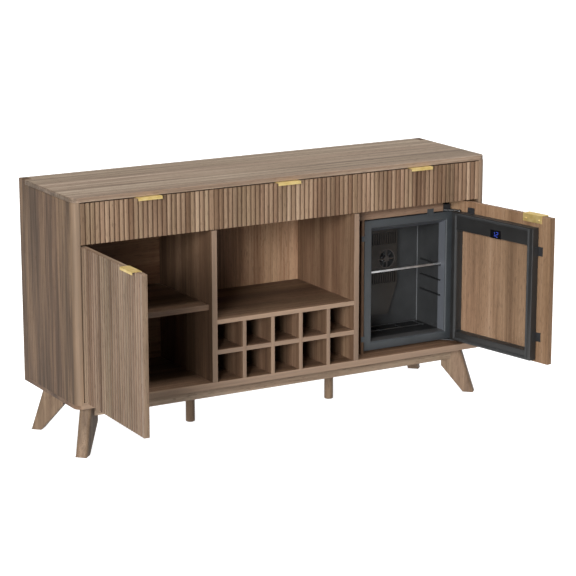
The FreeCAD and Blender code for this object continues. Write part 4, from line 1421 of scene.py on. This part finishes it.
@dataclass
class FridgeDoor:
    """Framed glass door of the fridge with the fluted wood panel on it."""

    body: Body
    outer: Rect = (313.01, 677.0, 190.5, 629.0)
    window: Rect = (330.01, 652.0, 223.5, 569.0)
    y: Pair = (-180.0, -152.0)
    seal_outer: Rect = (327.01, 662.0, 194.5, 626.0)
    seal_inner: Rect = (335.01, 654.0, 202.5, 618.0)
    panel: Pair = (262.01, 718.5)
    panel_z: Pair = (182.0, 665.5)
    panel_seed: float = 5.0
    pull_end: float = 81.0
    pull_reach: float = 12.0
    display: Pair = (476.01, 584.0)
    screen_t: float = 0.8
    figures: Tuple[Tuple[float, Tuple[int, ...]], ...] = ((9.0, (1, 2)), (-6.0, (0, 1, 3, 4, 6)))
    figure: Pair = (4.4, 8.0)
    bar: Triple = (3.7, 2.9, 0.9)
    bar_t: float = 0.25

    def build_frame(self) -> None:
        """Carry the frame's section and the seal's section round the window."""
        y0, y1 = self.y
        profile = [
            (0.0, y0 + 1.0), (0.04, y0), (0.96, y0), (1.0, y0 + 1.0), (1.0, y1 - 7.0),
            (0.98, y1 - 4.5), (0.95, y1 - 0.6), (0.93, y1), (0.06, y1), (0.0, y1 - 1.0),
        ]
        ring = frame_ring(self.outer, self.window, np.array(profile))
        self.body.put("door_window_frame", ring, "door_plastic", "frame_plastic", "door_frame")
        bulge = [
            (0.0, y1), (0.06, y1 + 1.6), (0.22, y1 + 2.9), (0.4, y1 + 2.7), (0.5, y1 + 2.0),
            (0.6, y1 + 2.7), (0.78, y1 + 2.9), (0.94, y1 + 1.6), (1.0, y1),
        ]
        seal = frame_ring(self.seal_outer, self.seal_inner, np.array(bulge))
        self.body.put("door_seal", seal, "seal_rubber", "seal_rubber", "door_gasket")

    def digit(self, shown: Sequence[int], x: float, z: float) -> List[Shell]:
        """Lit bars of one seven segment figure, seen from behind the closed door.

        Args:
            shown: Which of the seven bars are lit.
            x: Middle of the figure.
            z: Middle height of the figure.

        Returns:
            One thin pointed bar per lit segment.
        """
        w, h = self.figure
        spots = (
            (0.0, h), (-w, h / 2), (-w, -h / 2), (0.0, -h), (w, -h / 2), (w, h / 2), (0.0, 0.0)
        )
        tip, flat, half = self.bar
        level = np.array(
            [[-tip, 0.0], [-flat, -half], [flat, -half], [tip, 0.0], [flat, half], [-flat, half]]
        )
        face = self.y[1] + self.screen_t
        made: List[Shell] = []
        for dx, dz in (spots[i] for i in shown):
            line = level[:, ::-1] if dx else level
            bar = line + np.array([x + dx, z + dz])
            made.append(sweep(bar, (face, face + self.bar_t), Axis.Y))
        return made

    def build(self) -> None:
        """Make the frame, the seal, the lit figures and the wood panel with its pull."""
        self.build_frame()
        x, z = self.display
        bars = [bar for dx, shown in self.figures for bar in self.digit(shown, x + dx, z)]
        self.body.put("display_figures", merged(bars), "lit_segments", "display_face")
        panel = FlutedFront(self.panel, self.panel_seed).shell(self.panel_z)
        self.body.put("fridge_panel_ribs", panel, "wood_panel", "fluted_wood", "fridge_panel")
        centre = self.panel[0] + self.pull_end
        top = self.panel_z[1]
        Pull(self.body, "fridge_panel_pull", centre, top, self.pull_reach).build()
        self.body.dress({
            "door_glass": "clear_glass",
            "door_display": "screen",
            "panel_brackets": "black_plastic",
        })


@dataclass(frozen=True)
class Sun:
    """Far soft lamp: angles from the front towards the left and above the floor."""

    name: str
    around: float
    above: float
    power: float
    soft: float

    def build(self) -> None:
        """Hang the lamp; a sun's place has no effect, only its angles."""
        data = bpy.data.lights.new(self.name, "SUN")
        data.energy = self.power
        data.angle = math.radians(self.soft)
        lamp = bpy.data.objects.new(self.name, data)
        lamp.location = (0.0, 0.0, 3.0)
        lamp.rotation_euler = (math.radians(90.0 - self.above), 0.0, math.radians(-self.around))
        bpy.context.scene.collection.objects.link(lamp)


@dataclass
class Studio:
    """Camera, soft lights and a pale floor, with sizes in metres."""

    eye: Triple = (-3.35498, -5.75968, 2.05729)
    yaw: float = 30.0339
    pitch: float = 13.5286
    lens: float = 134.7084
    sensor: float = 36.0
    suns: Tuple[Sun, ...] = (
        Sun("key", 46.0, 13.0, 3.6, 24.0),
        Sun("above", 10.0, 84.0, 2.4, 36.0),
        Sun("behind", 240.0, 42.0, 0.9, 40.0),
    )
    room: float = 0.15
    floor: float = 40.0
    floor_points: int = 9
    pale: GlowFinish = GlowFinish("pale_floor", "A6A6A6", "A2A2A2", 2.6, 0.7, rough=0.9)

    def build_camera(self) -> None:
        """Camera at the photograph's angle."""
        data = bpy.data.cameras.new("camera")
        data.sensor_width = self.sensor
        data.lens = self.lens
        camera = bpy.data.objects.new("camera", data)
        camera.location = self.eye
        camera.rotation_euler = (math.radians(90.0 - self.pitch), 0.0, math.radians(-self.yaw))
        bpy.context.scene.collection.objects.link(camera)
        bpy.context.scene.camera = camera

    def build_light(self) -> None:
        """Low soft key from the front left, lamps above and behind, and a dim white room."""
        for sun in self.suns:
            sun.build()
        world = bpy.data.worlds.new("studio")
        world.use_nodes = True
        sky = world.node_tree.nodes["Background"]
        sky.inputs["Color"].default_value = (1.0, 1.0, 1.0, 1.0)
        sky.inputs["Strength"].default_value = self.room
        bpy.context.scene.world = world
        bpy.context.scene.view_settings.view_transform = "Standard"

    def build_floor(self) -> None:
        """Wide pale floor as one grid that stays flat."""
        count = self.floor_points
        line = np.linspace(-self.floor / 2, self.floor / 2, count)
        x, y = np.meshgrid(line, line)
        points = np.stack([x, y, np.zeros_like(x)], axis=-1).reshape(-1, 3)
        index = np.arange(count * count).reshape(count, count)
        corners = [index[:-1, :-1], index[:-1, 1:], index[1:, 1:], index[1:, :-1]]
        quads = np.stack(corners, axis=-1).reshape(-1, 4)
        mesh = bpy.data.meshes.new("floor")
        mesh.from_pydata(points.tolist(), [], quads.tolist())
        mesh.materials.append(self.pale.make())
        floor = bpy.data.objects.new("floor", mesh)
        floor.visible_diffuse = False
        bpy.context.scene.collection.objects.link(floor)

    def build(self) -> None:
        """Camera, lights and floor."""
        self.build_camera()
        self.build_light()
        self.build_floor()


DRAWERS: Dict[str, Pair] = {
    "left_drawer": (-723.5, -272.495),
    "middle_drawer": (-269.495, 248.51),
    "right_drawer": (251.51, 723.5),
}


def main() -> None:
    """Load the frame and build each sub-assembly in order."""
    logging.basicConfig(level=logging.INFO, format="%(message)s")
    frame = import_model()
    materials = {finish.name: finish.make() for finish in FINISHES}
    Studio().build()
    still = Body("carcass", frame, materials)
    Carcass(still).build()
    for seed, (name, x) in enumerate(DRAWERS.items(), start=1):
        Drawer(Body(name, frame, materials), x, float(seed)).build()
    LeftDoor(Body("left_door", frame, materials, LEFT_HINGE)).build()
    Fridge(still).build()
    FridgeDoor(Body("fridge_door", frame, materials, FRIDGE_HINGE)).build()


if __name__ == "__main__":
    main()
